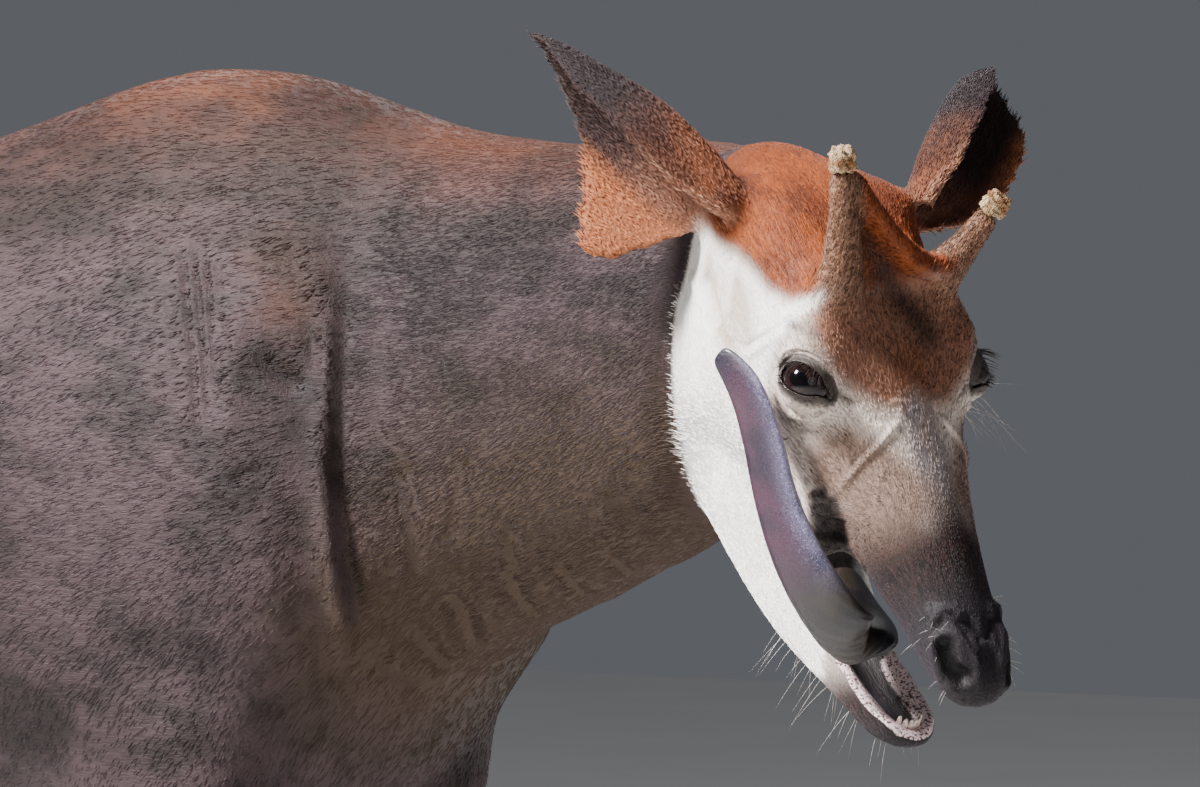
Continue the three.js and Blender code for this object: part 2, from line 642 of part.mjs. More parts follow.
// Ossicones: skin-covered horns that lean back and outwards, with a bare worn tip.
const OSSICONES = {
  right: [
    [196, -50, 84],
    [184, -53, 118],
    [162, -58, 150],
    [140, -64, 180],
    [126, -70, 202],
  ],
  left: [
    [190, 46, 84],
    [186, 52, 112],
    [180, 64, 134],
    [172, 76, 158],
    [165, 84, 180],
  ],
};
const OSSICONE_HALVES = [
  [27, 25],
  [19, 17],
  [14.5, 13.5],
  [12, 11.5],
  [10.5, 10],
];
const TIP_SHARE = 0.82; // share of the length that is covered by skin
const ossiconeFace = () => vec(0.6, 0, 0.8);
function ossiconeWhole(name, grow) {
  return toHead(solidOf(sweep(OSSICONES[name], OSSICONE_HALVES, ossiconeFace, 9, 12, grow)));
}
function ossiconeSolids(name) {
  const curve = new THREE.CatmullRomCurve3(OSSICONES[name].map((p) => vec(...p)), false, "centripetal");
  const at = curve.getPoint(TIP_SHARE).applyMatrix4(headPose);
  const way = curve.getTangent(TIP_SHARE).transformDirection(headPose);
  return parted(ossiconeWhole(name, 0).subtract(skullSolid(GAP)), at, way);
}

// Legs: sections at levels from the body down to the pastern.
// Columns: level, x, y, half depth fore and aft, half width.
const foreLegAt = track([
  [-1120, 372, 150, 70, 34],
  [-1060, 366, 158, 92, 50],
  [-980, 356, 162, 100, 60],
  [-900, 356, 156, 88, 58],
  [-820, 368, 150, 68, 50],
  [-720, 382, 143, 54, 43],
  [-620, 392, 137, 45, 38],
  [-555, 398, 133, 44, 39],
  [-505, 402, 130, 47, 42],
  [-462, 398, 128, 41, 37],
  [-425, 394, 126, 32, 29],
  [-330, 392, 122, 28, 25],
  [-240, 391, 118, 28, 26],
  [-198, 391, 117, 34, 32],
  [-172, 393, 116, 37, 35],
  [-140, 400, 116, 32, 32],
  [-108, 409, 116, 34, 35],
  [-HOOF_HEIGHT - GAP, FORE_FOOT.x, FORE_FOOT.y, 41, 42],
]);
const hindLegAt = track([
  [-1090, -470, 152, 110, 40],
  [-1030, -462, 160, 140, 58],
  [-960, -450, 160, 140, 66],
  [-880, -452, 156, 120, 64],
  [-800, -482, 150, 88, 54],
  [-710, -526, 143, 64, 43],
  [-640, -562, 137, 52, 36],
  [-590, -585, 132, 50, 34],
  [-545, -586, 130, 47, 34],
  [-490, -576, 127, 38, 31],
  [-430, -570, 125, 32, 28],
  [-330, -565, 122, 30, 26],
  [-240, -560, 120, 30, 27],
  [-198, -557, 119, 35, 32],
  [-172, -554, 118, 38, 35],
  [-140, -544, 118, 33, 32],
  [-108, -534, 118, 34, 35],
  [-HOOF_HEIGHT - GAP, HIND_FOOT.x, HIND_FOOT.y, 41, 42],
]);
const FORE_LEG_BUMPS = [
  lobe([438, 130, 508], [18, 30, 30], 5), // front of the knee
  lobe([356, 131, 528], [14, 20, 24], 6), // back of the knee
  ridge([366, 122, 420], [362, 118, 220], 11, 4), // tendon
  lobe([358, 117, 178], [16, 24, 20], 5), // back of the fetlock
  lobe([274, 160, 905], [30, 34, 34], 8), // elbow
];
const HIND_LEG_BUMPS = [
  lobe([-640, 131, 596], [18, 16, 30], 20), // point of the hock
  ridge([-632, 134, 640], [-605, 142, 740], 13, 12), // tendon above the hock
  lobe([-540, 130, 545], [18, 24, 30], 5), // front of the hock
  ridge([-600, 124, 430], [-592, 120, 220], 12, 4), // tendon below the hock
  lobe([-590, 118, 178], [16, 24, 20], 5), // back of the fetlock
  lobe([-322, 160, 930], [34, 34, 44], 8), // stifle
];
const FORE_LEVELS = [1120, 1060, 990, 920, 850, 770, 690, 620, 570, 538, 508, 478, 450, 420, 340, 260, 220, 195, 172, 146, 118, 94];
const HIND_LEVELS = [1090, 1035, 975, 910, 845, 780, 720, 670, 632, 604, 576, 540, 500, 450, 370, 280, 226, 197, 172, 146, 118, 94];

function legSolid(at, levels, bumps, side, grow) {
  const all = [...levels, HOOF_HEIGHT + GAP];
  const around = 14;
  const rings = all.map((z) => {
    const [x, y, deep, wide] = at(-z);
    return Array.from({ length: around }, (_, j) => {
      const [a, b] = eggPoint((j / around) * 2 * Math.PI, deep, wide, wide, 2.15, 2.15);
      return vec(x + a, y + b, z);
    });
  });
  const swelled = swell(rings, bumps, grow).map((ring, i) => ring.map((p) => vec(p.x, side * p.y, all[i])));
  return solidOf(skinOver(swelled));
}

// Cloven hooves: two claws a foot, flat below, with a slanting front wall.
const CLAW = { length: 108, width: 44, split: 3, toe: 62, heelHeight: 44, coronetLength: 76 };
function clawSolid(foot, side, outer) {
  const around = 12;
  const middleY = side * foot.y + outer * (CLAW.width / 2 + CLAW.split / 2);
  const levels = [0, 0.12, 0.55, 1];
  const rings = levels.map((t) => {
    const length = lerp(CLAW.length, CLAW.coronetLength, t ** 0.8) / 2 - (t === 0 ? 3 : 0);
    const width = lerp(CLAW.width, CLAW.width * 0.88, t) / 2 - (t === 0 ? 2 : 0);
    const x = foot.x + lerp(CLAW.toe - CLAW.length / 2 + 4, 0, t ** 0.9);
    return Array.from({ length: around }, (_, j) => {
      const angle = (j / around) * 2 * Math.PI;
      const [a, b] = eggPoint(angle, length, width, width, 2.2, 2.2);
      const narrow = 1 - 0.38 * clamp(a / length, 0, 1) ** 2;
      return vec(x + a, middleY + b * narrow, t * HOOF_HEIGHT);
    });
  });
  return solidOf(skinOver(rings));
}

// Tail with a tuft of long dark locks.
const TAIL_PATH = [
  [-690, 0, 1322],
  [-735, 2, 1312],
  [-768, 6, 1262],
  [-782, 10, 1180],
  [-790, 14, 1080],
  [-794, 16, 985],
];
const TAIL_HALVES = [
  [26, 22],
  [26, 22],
  [20, 17],
  [15, 13],
  [12, 10],
  [9, 8],
];
const tailFace = () => vec(-1, 0, 0);
const tailShaft = (grow) => solidOf(sweep(TAIL_PATH, TAIL_HALVES, tailFace, 14, 10, grow));
const TUFT = { top: 975, locks: 13, length: 175, spread: 20, width: 7.5, thick: 2.4, seed: 7 };

function seededRandom(seed) {
  let state = seed;
  return () => {
    state = (state * 16807) % 2147483647;
    return state / 2147483647;
  };
}

function tuftSolid() {
  const random = seededRandom(TUFT.seed);
  const root = vec(-794, 16, TUFT.top);
  const core = sweep(
    [
      [-793.8, 16, 984.3],
      [-795, 16, 950],
      [-797, 17, 910],
      [-798, 17, 880],
    ],
    [
      [9, 8],
      [11, 9],
      [8, 7],
      [2, 2],
    ],
    tailFace,
    5,
    8,
  );
  const locks = Array.from({ length: TUFT.locks }, (_, i) => {
    const angle = ((i + 0.35 * random()) / TUFT.locks) * 2 * Math.PI;
    const out = vec(Math.cos(angle), Math.sin(angle), 0);
    const length = TUFT.length * (0.72 + 0.28 * random());
    const flare = TUFT.spread * (0.55 + 0.6 * random());
    const start = root.clone().addScaledVector(out, 3).add(vec(0, 0, -40 * random()));
    const path = [0, 0.35, 0.7, 1].map((t) =>
      start
        .clone()
        .addScaledVector(out, flare * Math.sin(t * 2.1) * 0.8 + 3 * t)
        .add(vec(-4 * t, 0, -length * t))
        .toArray(),
    );
    const halves = [
      [TUFT.width * 0.7, TUFT.thick],
      [TUFT.width, TUFT.thick],
      [TUFT.width * 0.7, TUFT.thick * 0.8],
      [0.8, 0.5],
    ];
    return sweep(path, halves, () => out, 3, 4);
  });
  return largest(fuse([core, ...locks].map(solidOf)));
}

// Assembly.
const okapi = new THREE.Group();
function add(name, solid, material) {
  const mesh = new THREE.Mesh(geometryOf(solid), material);
  mesh.name = name;
  okapi.add(mesh);
}

const [torso, neck] = torsoAndNeck();
const torsoGrown = trunkSolid(GAP);
const skullGrown = skullSolid(GAP);
const jawGrown = jawShell(GAP);
const head = headSolid();
const jaw = lowerJawSolid();

add("torso", torso, PALETTE.coat);
add("neck", largest(neck.subtract(skullGrown).subtract(jawGrown)), PALETTE.coat);
add("head", head, PALETTE.face);
add("lower_jaw", largest(jaw.subtract(lowerTeeth(GAP))), PALETTE.jaw);
add("lower_teeth", largest(lowerTeeth(0)), PALETTE.tooth);
add("tongue", largest(tongueSolid(0).subtract(fuse([skullGrown.subtract(toHead(palateCut)), jawGrown.subtract(toHead(jawTrough)), lowerTeeth(GAP)]))), PALETTE.tongue);
for (const [name, side] of sides) {
  add(`ear_${name}`, largest(earSolid(EARS[name]).subtract(skullGrown)).simplify(SHORT_EDGE), PALETTE.ear);
  add(`eye_${name}`, toHead(eyeBall(side, 0)), PALETTE.eye);
  const [stem, tip] = ossiconeSolids(name);
  add(`ossicone_${name}`, stem, PALETTE.ossicone);
  add(`ossicone_tip_${name}`, tip, PALETTE.bone);
  const fore = legSolid(foreLegAt, FORE_LEVELS, FORE_LEG_BUMPS, side, 0).subtract(torsoGrown);
  const hind = legSolid(hindLegAt, HIND_LEVELS, HIND_LEG_BUMPS, side, 0).subtract(torsoGrown);
  add(`foreleg_${name}`, largest(fore), PALETTE.stocking);
  add(`hindleg_${name}`, largest(hind), PALETTE.stocking);
  for (const [claw, outer] of [["inner", -side], ["outer", side]]) {
    add(`hoof_fore_${name}_${claw}`, clawSolid(FORE_FOOT, side, outer), PALETTE.hoof);
    add(`hoof_hind_${name}_${claw}`, clawSolid(HIND_FOOT, side, outer), PALETTE.hoof);
  }
}
add("tail", largest(tailShaft(0).subtract(torsoGrown)), PALETTE.coat);
add("tail_tuft", tuftSolid(), PALETTE.hair);

// The origin goes to the middle of the bounding box, at floor level.
okapi.updateMatrixWorld(true);
const box = new THREE.Box3().setFromObject(okapi, true);
const middle = box.getCenter(vec(0, 0, 0));
okapi.position.set(-middle.x, -middle.y, -box.min.z);

export default okapi;
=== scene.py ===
import math

import bmesh
import bpy
import numpy as np
from mathutils import Matrix, Vector
from mathutils.bvhtree import BVHTree


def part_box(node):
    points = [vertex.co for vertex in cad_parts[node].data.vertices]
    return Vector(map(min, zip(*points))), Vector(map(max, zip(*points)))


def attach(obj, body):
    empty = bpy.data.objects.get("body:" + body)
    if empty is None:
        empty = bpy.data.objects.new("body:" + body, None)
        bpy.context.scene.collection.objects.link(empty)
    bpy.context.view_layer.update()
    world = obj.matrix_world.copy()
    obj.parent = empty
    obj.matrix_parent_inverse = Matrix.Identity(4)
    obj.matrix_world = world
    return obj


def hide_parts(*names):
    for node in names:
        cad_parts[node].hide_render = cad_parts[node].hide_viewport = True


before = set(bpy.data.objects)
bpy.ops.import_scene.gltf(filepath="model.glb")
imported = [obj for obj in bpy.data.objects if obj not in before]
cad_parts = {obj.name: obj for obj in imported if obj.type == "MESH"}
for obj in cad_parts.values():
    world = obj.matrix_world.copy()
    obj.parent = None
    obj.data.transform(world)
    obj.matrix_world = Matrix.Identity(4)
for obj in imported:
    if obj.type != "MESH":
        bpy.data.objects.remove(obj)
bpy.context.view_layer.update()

# Everything is worked out in millimetres and set down in metres.
# The body frame has +X forwards, +Y to the animal's left and +Z up, with the floor at 0.
# The head frame runs from the poll along the face (x), to the left (y) and out of the brow (z).
HEAD_ORIGIN = np.array([868.0, -72.0, 1453.0])
HEAD_TURNS = (-17.0, 50.0, 3.0)
EYE = np.array([243.0, 78.0, 47.0])
EYE_RADIUS = 22.0
NECK_BEND_START = 450.0
NECK_BEND = 4.1e-4
NECK_HEIGHT = 1310.0
FULL_TURN = 2 * math.pi
SIDES = {"right": -1, "left": 1}
LEGS = ("foreleg_right", "foreleg_left", "hindleg_right", "hindleg_left")
FLESH = ("torso", "neck", *LEGS, "tail")
FACE = ("head", "lower_jaw", "ossicone_right", "ossicone_left")
EARS = ("ear_right", "ear_left")
NODES = (*FLESH, *FACE, *EARS)


def turned(yaw, pitch, roll):
    a, b, c = np.radians([yaw, pitch, roll])
    about_z = np.array([[math.cos(a), -math.sin(a), 0], [math.sin(a), math.cos(a), 0], [0, 0, 1]])
    about_y = np.array([[math.cos(b), 0, math.sin(b)], [0, 1, 0], [-math.sin(b), 0, math.cos(b)]])
    about_x = np.array([[1, 0, 0], [0, math.cos(c), -math.sin(c)], [0, math.sin(c), math.cos(c)]])
    return about_z @ about_y @ about_x


HEAD_AXES = turned(*HEAD_TURNS)


def to_head(points):
    return (points - HEAD_ORIGIN) @ HEAD_AXES


def from_head(points):
    return np.asarray(points, float) @ HEAD_AXES.T + HEAD_ORIGIN


# how far the CAD model stands from the body frame
SHIFT = np.mean(np.array(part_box("eye_right"), float), axis=0) * 1000 - from_head(EYE * [1, -1, 1])


def to_row(points):
    """Body millimetres to the CAD model's metres."""
    return (np.asarray(points, float) + SHIFT) / 1000


def positions(vertices):
    return np.array([v.co for v in vertices], float)


def places(mesh):
    """A mesh's points in body millimetres."""
    return positions(mesh.vertices) * 1000 - SHIFT


def unit(vectors):
    return vectors / np.maximum(np.linalg.norm(vectors, axis=-1, keepdims=True), 1e-9)


def ramp(x, low, high):
    t = np.clip((x - low) / (high - low), 0, 1)
    return t * t * (3 - 2 * t)


def bell(x, width, power=2):
    """1 in the middle, falling off over the width."""
    return np.exp(-(x / width) ** power)


def linked(name, data):
    ob = bpy.data.objects.new(name, data)
    bpy.context.scene.collection.objects.link(ob)
    return ob


def evaluated(ob):
    """The mesh that an object's modifiers make."""
    deps = bpy.context.evaluated_depsgraph_get()
    return bpy.data.meshes.new_from_object(ob.evaluated_get(deps), depsgraph=deps)


def as_mesh(bm, name):
    mesh = bpy.data.meshes.new(name)
    bm.to_mesh(mesh)
    bm.free()
    return mesh


def take_in(bm, other):
    """Moves another bmesh's faces into a bmesh."""
    mesh = as_mesh(other, "part")
    bm.from_mesh(mesh)
    bpy.data.meshes.remove(mesh)


# Camera
CAMERA_TARGET = np.array([700.0, -30.0, 1275.0])
CAMERA_SIDE, CAMERA_RISE = math.radians(35), math.radians(2)
CAMERA_FAR = 9000
CAMERA_LENS = 324


def add_camera():
    ahead, side = math.cos(CAMERA_SIDE), math.sin(CAMERA_SIDE)
    back = np.array([side * math.cos(CAMERA_RISE), -ahead * math.cos(CAMERA_RISE), math.sin(CAMERA_RISE)])
    right = np.array([ahead, side, 0])
    data = bpy.data.cameras.new("Camera")
    data.sensor_width = 36
    data.lens = CAMERA_LENS
    data.clip_end = 60
    camera = linked("Camera", data)
    axes = np.stack([right, np.cross(back, right), back], axis=1)
    place = Matrix([[*row, 0] for row in axes] + [[0, 0, 0, 1]])
    place.translation = Vector(to_row(CAMERA_TARGET + CAMERA_FAR * back))
    camera.matrix_world = place
    bpy.context.scene.camera = camera


add_camera()

# Skin: one closed mesh over the flesh
HEAD_VOXEL, BODY_VOXEL = 4.5, 10.0
FACE_SWELL, EAR_SWELL = 0.3, 1.3
LONGEST_EDGE = 40.0           # of the body before its mesh is bent
BODY_SPREAD = 1200.0          # how fast the body's mesh coarsens away from the head
SPREAD_FROM = np.array([1000.0, -100.0, 1300.0])
SEAM_X = 770.0                # where the fine mesh of the head meets the neck's
SEAM_GAP = 5.0
EAR_REACH = 9.0               # the seam's cut stays this far from the ears
LIMB_SLICES = 8               # of a limb, for its middle line
LENS_FADE = 0.3               # share of a limb's stretch over which its widening fades out
# limb: top of the stretch, how many times it is widened, the limb's reach, where the widening ends
LENSES = {**dict.fromkeys(LEGS, (600, 1.9, 46, 118)), "tail": (1200, 2.8, 17, 62)}


def node_mesh(names, swell=0.0, longest=1e9):
    """CAD nodes as one merged bmesh in body millimetres, swollen along their normals."""
    bm = bmesh.new()
    for name in names:
        part = bmesh.new()
        part.from_mesh(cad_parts[name].data)
        bmesh.ops.remove_doubles(part, verts=part.verts, dist=1e-6)
        for v in part.verts:
            v.co = Vector(np.array(v.co) * 1000 - SHIFT)
        part.normal_update()
        moves = [v.normal * swell for v in part.verts]
        for v, move in zip(part.verts, moves):
            v.co += move
        take_in(bm, part)
    for _ in range(4):
        long = [e for e in bm.edges if e.calc_length() > longest]
        if not long:
            break
        bmesh.ops.subdivide_edges(bm, edges=long, cuts=1)
        bmesh.ops.triangulate(bm, faces=[f for f in bm.faces if len(f.verts) > 3])
    return bm


def remeshed(bm, voxel):
    """One closed shell of quads over a bmesh. Inner bubbles are dropped."""
    ob = linked("flesh", as_mesh(bm, "flesh"))
    modifier = ob.modifiers.new("Shell", "REMESH")
    modifier.mode = "VOXEL"
    modifier.voxel_size = voxel
    out, source = evaluated(ob), ob.data
    shell = bmesh.new()
    shell.from_mesh(out)
    bpy.data.objects.remove(ob)
    for mesh in (source, out):
        bpy.data.meshes.remove(mesh)
    return keep_largest(shell)


def keep_largest(bm):
    """Deletes all but the largest connected part."""
    seen, best = set(), set()
    for start in bm.verts:
        if start in seen:
            continue
        group, stack = {start}, [start]
        while stack:
            v = stack.pop()
            for e in v.link_edges:
                w = e.other_vert(v)
                if w not in group:
                    group.add(w)
                    stack.append(w)
        seen |= group
        best = max(best, group, key=len)
    bmesh.ops.delete(bm, geom=[v for v in bm.verts if v not in best], context="VERTS")
    return bm


def spread(points, back=False):
    """Draws far parts of the body in, so that even voxels there come out larger; and undoes it."""
    away = points - SPREAD_FROM
    r = np.maximum(np.linalg.norm(away, axis=1, keepdims=True), 1e-6)
    bent = np.expm1(r / BODY_SPREAD) if back else np.log1p(r / BODY_SPREAD)
    return SPREAD_FROM + away / r * BODY_SPREAD * bent


def nearest_on(points, path):
    """For each point: its distance to a polyline, the nearest place, and how many steps along that is."""
    best = np.linalg.norm(points - path[0], axis=1)
    foot, along = np.tile(path[0], (len(points), 1)), np.zeros(len(points))
    for k, (a, b) in enumerate(zip(path, path[1:])):
        t = np.clip((points - a) @ (b - a) / ((b - a) @ (b - a)), 0, 1)
        place = a + t[:, None] * (b - a)
        d = np.linalg.norm(points - place, axis=1)
        closer = d < best
        best[closer], foot[closer], along[closer] = d[closer], place[closer], k + t[closer]
    return best, foot, along


def centre_line(name, top):
    """The middle of a limb, from its lower end up to a height."""
    points = places(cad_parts[name].data)
    levels = np.linspace(points[:, 2].min() - 1, min(points[:, 2].max(), top), LIMB_SLICES + 1)
    slices = [points[(points[:, 2] >= a) & (points[:, 2] <= b)] for a, b in zip(levels, levels[1:])]
    return np.array([s.mean(axis=0) for s in slices if len(s) > 3])


def widen(points, back=False):
    """Widens the thin limbs about their middles, so that even voxels there come out smaller; and undoes it."""
    for name, (top, times, reach, end) in LENSES.items():
        path = centre_line(name, top)
        rho, foot, along = nearest_on(points, path)
        k = 1 + (times - 1) * ramp(1 - along / (len(path) - 1), 0, LENS_FADE)
        slope = (end - k * reach) / (end - reach)
        if back:
            other = np.where(rho < k * reach, rho / k, reach + (rho - k * reach) / slope)
        else:
            other = np.where(rho < reach, rho * k, k * reach + (rho - reach) * slope)
        scale = np.where(rho < end, other / np.maximum(rho, 1e-6), 1.0)
        points = foot + (points - foot) * scale[:, None]
    return points


def reshape(bm, points):
    for v, p in zip(bm.verts, points):
        v.co = p


def cut_open(bm, point, direction, sign, spare=None):
    """Cuts the neck across and leaves it open. Faces within reach of the spare shape stay whole."""
    near = {v for v in bm.verts if spare and spare.find_nearest(v.co, EAR_REACH)[0] is not None}
    faces = [f for f in bm.faces if near.isdisjoint(f.verts)]
    geom = [*{v for f in faces for v in f.verts}, *{e for f in faces for e in f.edges}, *faces]
    bmesh.ops.bisect_plane(bm, geom=geom, plane_co=point, plane_no=direction, dist=0.05)
    drop = [v for v in bm.verts if v not in near and sign * float((np.array(v.co) - point) @ direction) < -0.1]
    bmesh.ops.delete(bm, geom=drop, context="VERTS")
    return keep_largest(bm)


def band(ring_a, turn_a, ring_b, turn_b):
    """Triangles between two rings, each given as its corners and their rising angles about the middle."""
    n, m = len(ring_a), len(ring_b)
    faces, i, j = [], 0, 0
    while i < n or j < m:
        a, b = ring_a[i % n], ring_b[j % m]
        next_a = turn_a[(i + 1) % n] + FULL_TURN * (i + 1 >= n)
        next_b = turn_b[(j + 1) % m] + FULL_TURN * (j + 1 >= m)
        if j >= m or (i < n and next_a <= next_b):
            i += 1
            faces.append((a, ring_a[i % n], b))
        else:
            j += 1
            faces.append((a, ring_b[j % m], b))
    return faces


def zipped(front, rear, point, direction):
    """Joins the two open meshes with a band of triangles into one."""
    own = set(front.verts)
    take_in(front, rear)
    side = np.cross([0, 0, 1.0], direction)
    rim = {v for e in front.edges if e.is_boundary for v in e.verts}
    angle = {v: math.atan2(v.co.z - point[2], float((np.array(v.co) - point) @ side)) for v in rim}
    ordered = sorted(rim, key=angle.get)
    rings = [[v for v in ordered if (v in own) == first] for first in (True, False)]
    for face in band(*(part for ring in rings for part in (ring, [angle[v] for v in ring]))):
        front.faces.new(face)
    return front


def build_shell():
    ahead = SEAM_X - NECK_BEND_START
    heading = -math.atan(2 * NECK_BEND * ahead)
    point = np.array([SEAM_X, -NECK_BEND * ahead ** 2, NECK_HEIGHT])
    direction = np.array([math.cos(heading), math.sin(heading), 0])
    face = node_mesh((*FACE, "neck"), FACE_SWELL)
    ears = node_mesh(EARS, EAR_SWELL)
    tree = BVHTree.FromBMesh(ears)
    take_in(face, ears)
    face = cut_open(remeshed(face, HEAD_VOXEL), point + direction * SEAM_GAP, direction, 1, tree)
    body = node_mesh(FLESH, FACE_SWELL, LONGEST_EDGE)
    reshape(body, spread(widen(positions(body.verts))))
    body = remeshed(body, BODY_VOXEL)
    reshape(body, widen(spread(positions(body.verts), back=True), back=True))
    body = cut_open(body, point - direction * SEAM_GAP, direction, -1)
    shell = zipped(face, body, point, direction)
    bmesh.ops.recalc_face_normals(shell, faces=shell.faces)
    bmesh.ops.triangulate(shell, faces=shell.faces)
    return shell


# Forms worked into the skin
SMOOTHING = 26                # rounds of smoothing
SMOOTH_SHARE = {**dict.fromkeys(EARS, 0.08), "ossicone_right": 0.2, "ossicone_left": 0.2, "tail": 0.25,
                "lower_jaw": 0.35, "head": 0.5, "neck": 0.5, "torso": 0.5, **dict.fromkeys(LEGS, 0.3)}
LIMB_TOP = 760.0              # below this height the legs are drawn back to their full thickness
FAR = 1e3
UNLIDDED = 60.0               # the distance to the lids' edge that is held away from the eyes


def flesh_tree():
    """The CAD surfaces as a tree to search, and the node of each of its faces."""
    verts, faces, owner = [], [], []
    for k, name in enumerate(NODES):
        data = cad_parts[name].data
        start = len(verts)
        verts += [Vector(p) for p in places(data)]
        faces += [tuple(start + i for i in p.vertices) for p in data.polygons]
        owner += [k] * len(data.polygons)
    return BVHTree.FromPolygons(verts, faces), owner


FLESH_TREE, FACE_NODES = flesh_tree()


def sides_of(faces):
    return np.concatenate([faces[:, [0, 1]], faces[:, [1, 2]], faces[:, [2, 0]]])


def rows(*columns):
    """Faces from arrays of their corners."""
    return np.stack(columns, axis=-1).reshape(-1, 3)


def paired(local):
    """Places in the head frame with both sides laid on the left one."""
    return np.abs(local) * [0, 1, 0] + local * [1, 0, 1]


class Skin:
    """The skin's triangles in body millimetres, with normals, places in the head frame and held numbers."""

    def __init__(self, bm):
        bm.verts.index_update()
        self.points = positions(bm.verts)
        self.faces = np.array([[v.index for v in f.verts] for f in bm.faces])
        self.owner = np.array([FACE_NODES[FLESH_TREE.find_nearest(p)[2]] for p in self.points])
        self.held = {"lid": np.full(len(self.points), UNLIDDED)}
        self.relink()

    def relink(self):
        self.edges = np.unique(np.sort(sides_of(self.faces), axis=1), axis=0)
        self.refresh()

    def refresh(self):
        corners = self.points[self.faces]
        across = np.cross(corners[:, 1] - corners[:, 0], corners[:, 2] - corners[:, 0])
        self.normals = unit(np.stack([
            sum(np.bincount(self.faces[:, c], across[:, k], len(self.points)) for c in range(3))
            for k in range(3)], axis=1))
        self.facing = self.normals @ HEAD_AXES
        self.local = to_head(self.points)
        self.paired = paired(self.local)

    def averaged(self, values, times=1):
        a, b = self.edges.T
        count = np.bincount(a, minlength=len(self.points)) + np.bincount(b, minlength=len(self.points))
        values = np.asarray(values, float)
        for _ in range(times):
            flat = values.reshape(len(values), -1)
            total = np.stack([np.bincount(a, flat[b, k], len(flat)) + np.bincount(b, flat[a, k], len(flat))
                              for k in range(flat.shape[1])], axis=1)
            values = (total / np.maximum(count, 1)[:, None]).reshape(values.shape)
        return values

    def smooth(self, share, times):
        share = np.broadcast_to(share, len(self.points))[:, None]
        for _ in range(times):
            self.points += share * (self.averaged(self.points) - self.points)
        self.refresh()

    def push(self, height):
        self.points += self.normals * np.asarray(height)[:, None]
        self.refresh()

    def owned(self, *names):
        return np.isin(self.owner, [NODES.index(n) for n in names])

    def blurred(self, *names, times):
        """1 on the named nodes and 0 elsewhere, with a soft border."""
        return self.averaged(self.owned(*names), times)

    def refine(self, wanted):
        """Splits every edge that is longer than wanted there, and the triangles on both its sides."""
        sides = np.stack([self.faces, np.roll(self.faces, -1, axis=1)], axis=2).reshape(-1, 2)
        ends, back = np.unique(np.sort(sides, axis=1), axis=0, return_inverse=True)
        halfway = self.points[ends].mean(axis=1)
        length = np.linalg.norm(self.points[ends[:, 0]] - self.points[ends[:, 1]], axis=1)
        long = length > wanted(halfway)
        fresh = np.full(len(ends), -1)
        fresh[long] = len(self.points) + np.arange(long.sum())
        cut = fresh[back.ravel()].reshape(-1, 3)
        count = (cut >= 0).sum(axis=1)
        (a, b, c), (p, q, r) = self.faces[count == 3].T, cut[count == 3].T
        parts = [self.faces[count == 0], *(rows(*t) for t in ((a, p, r), (p, b, q), (r, q, c), (p, q, r)))]
        for k in range(3):
            picked = (count == 1) & (cut[:, k] >= 0)
            a, b, c = np.roll(self.faces[picked], -k, axis=1).T
            p = cut[picked, k]
            parts += [rows(a, p, c), rows(p, b, c)]
            picked = (count == 2) & (cut[:, k] < 0)
            a, b, c = np.roll(self.faces[picked], -k - 1, axis=1).T
            p, q, _ = np.roll(cut[picked], -k - 1, axis=1).T
            parts += [rows(p, b, q), rows(a, p, q), rows(a, q, c)]
        self.owner = np.concatenate([self.owner, self.owner[ends[long][:, 0]]])
        for name, numbers in self.held.items():
            self.held[name] = np.concatenate([numbers, numbers[ends[long]].mean(axis=1)])
        self.points = np.concatenate([self.points, halfway[long]])
        self.faces = np.concatenate(parts)
        self.relink()


def near_path(points, path, reach=None):
    """Distance to a polyline, and how far along it, 0 to 1. With a reach, points beyond it stay FAR."""
    path = np.atleast_2d(np.asarray(path, float))
    distance, along = np.full(len(points), FAR), np.zeros(len(points))
    near = np.ones(len(points), bool)
    if reach is not None:
        near = np.all((points > path.min(axis=0) - reach) & (points < path.max(axis=0) + reach), axis=1)
    if near.any():
        distance[near], _, steps = nearest_on(points[near], path)
        lengths = np.concatenate([[0], np.cumsum(np.linalg.norm(np.diff(path, axis=0), axis=1))])
        along[near] = np.interp(steps, np.arange(len(path)), lengths / max(lengths[-1], 1e-9))
    return distance, along


def reach_of(points, path, reach):
    return near_path(points, path, reach)[0]


def fold(points, path, width, height, fade=0.18):
    """A soft ridge (or a groove, where height is negative) along a path, fading at its ends."""
    d, along = near_path(points, path, 4 * width)
    ends = np.minimum(ramp(along, 0, fade), ramp(1 - along, 0, fade)) if len(path) > 1 else 1.0
    return height * bell(d, width) * ends


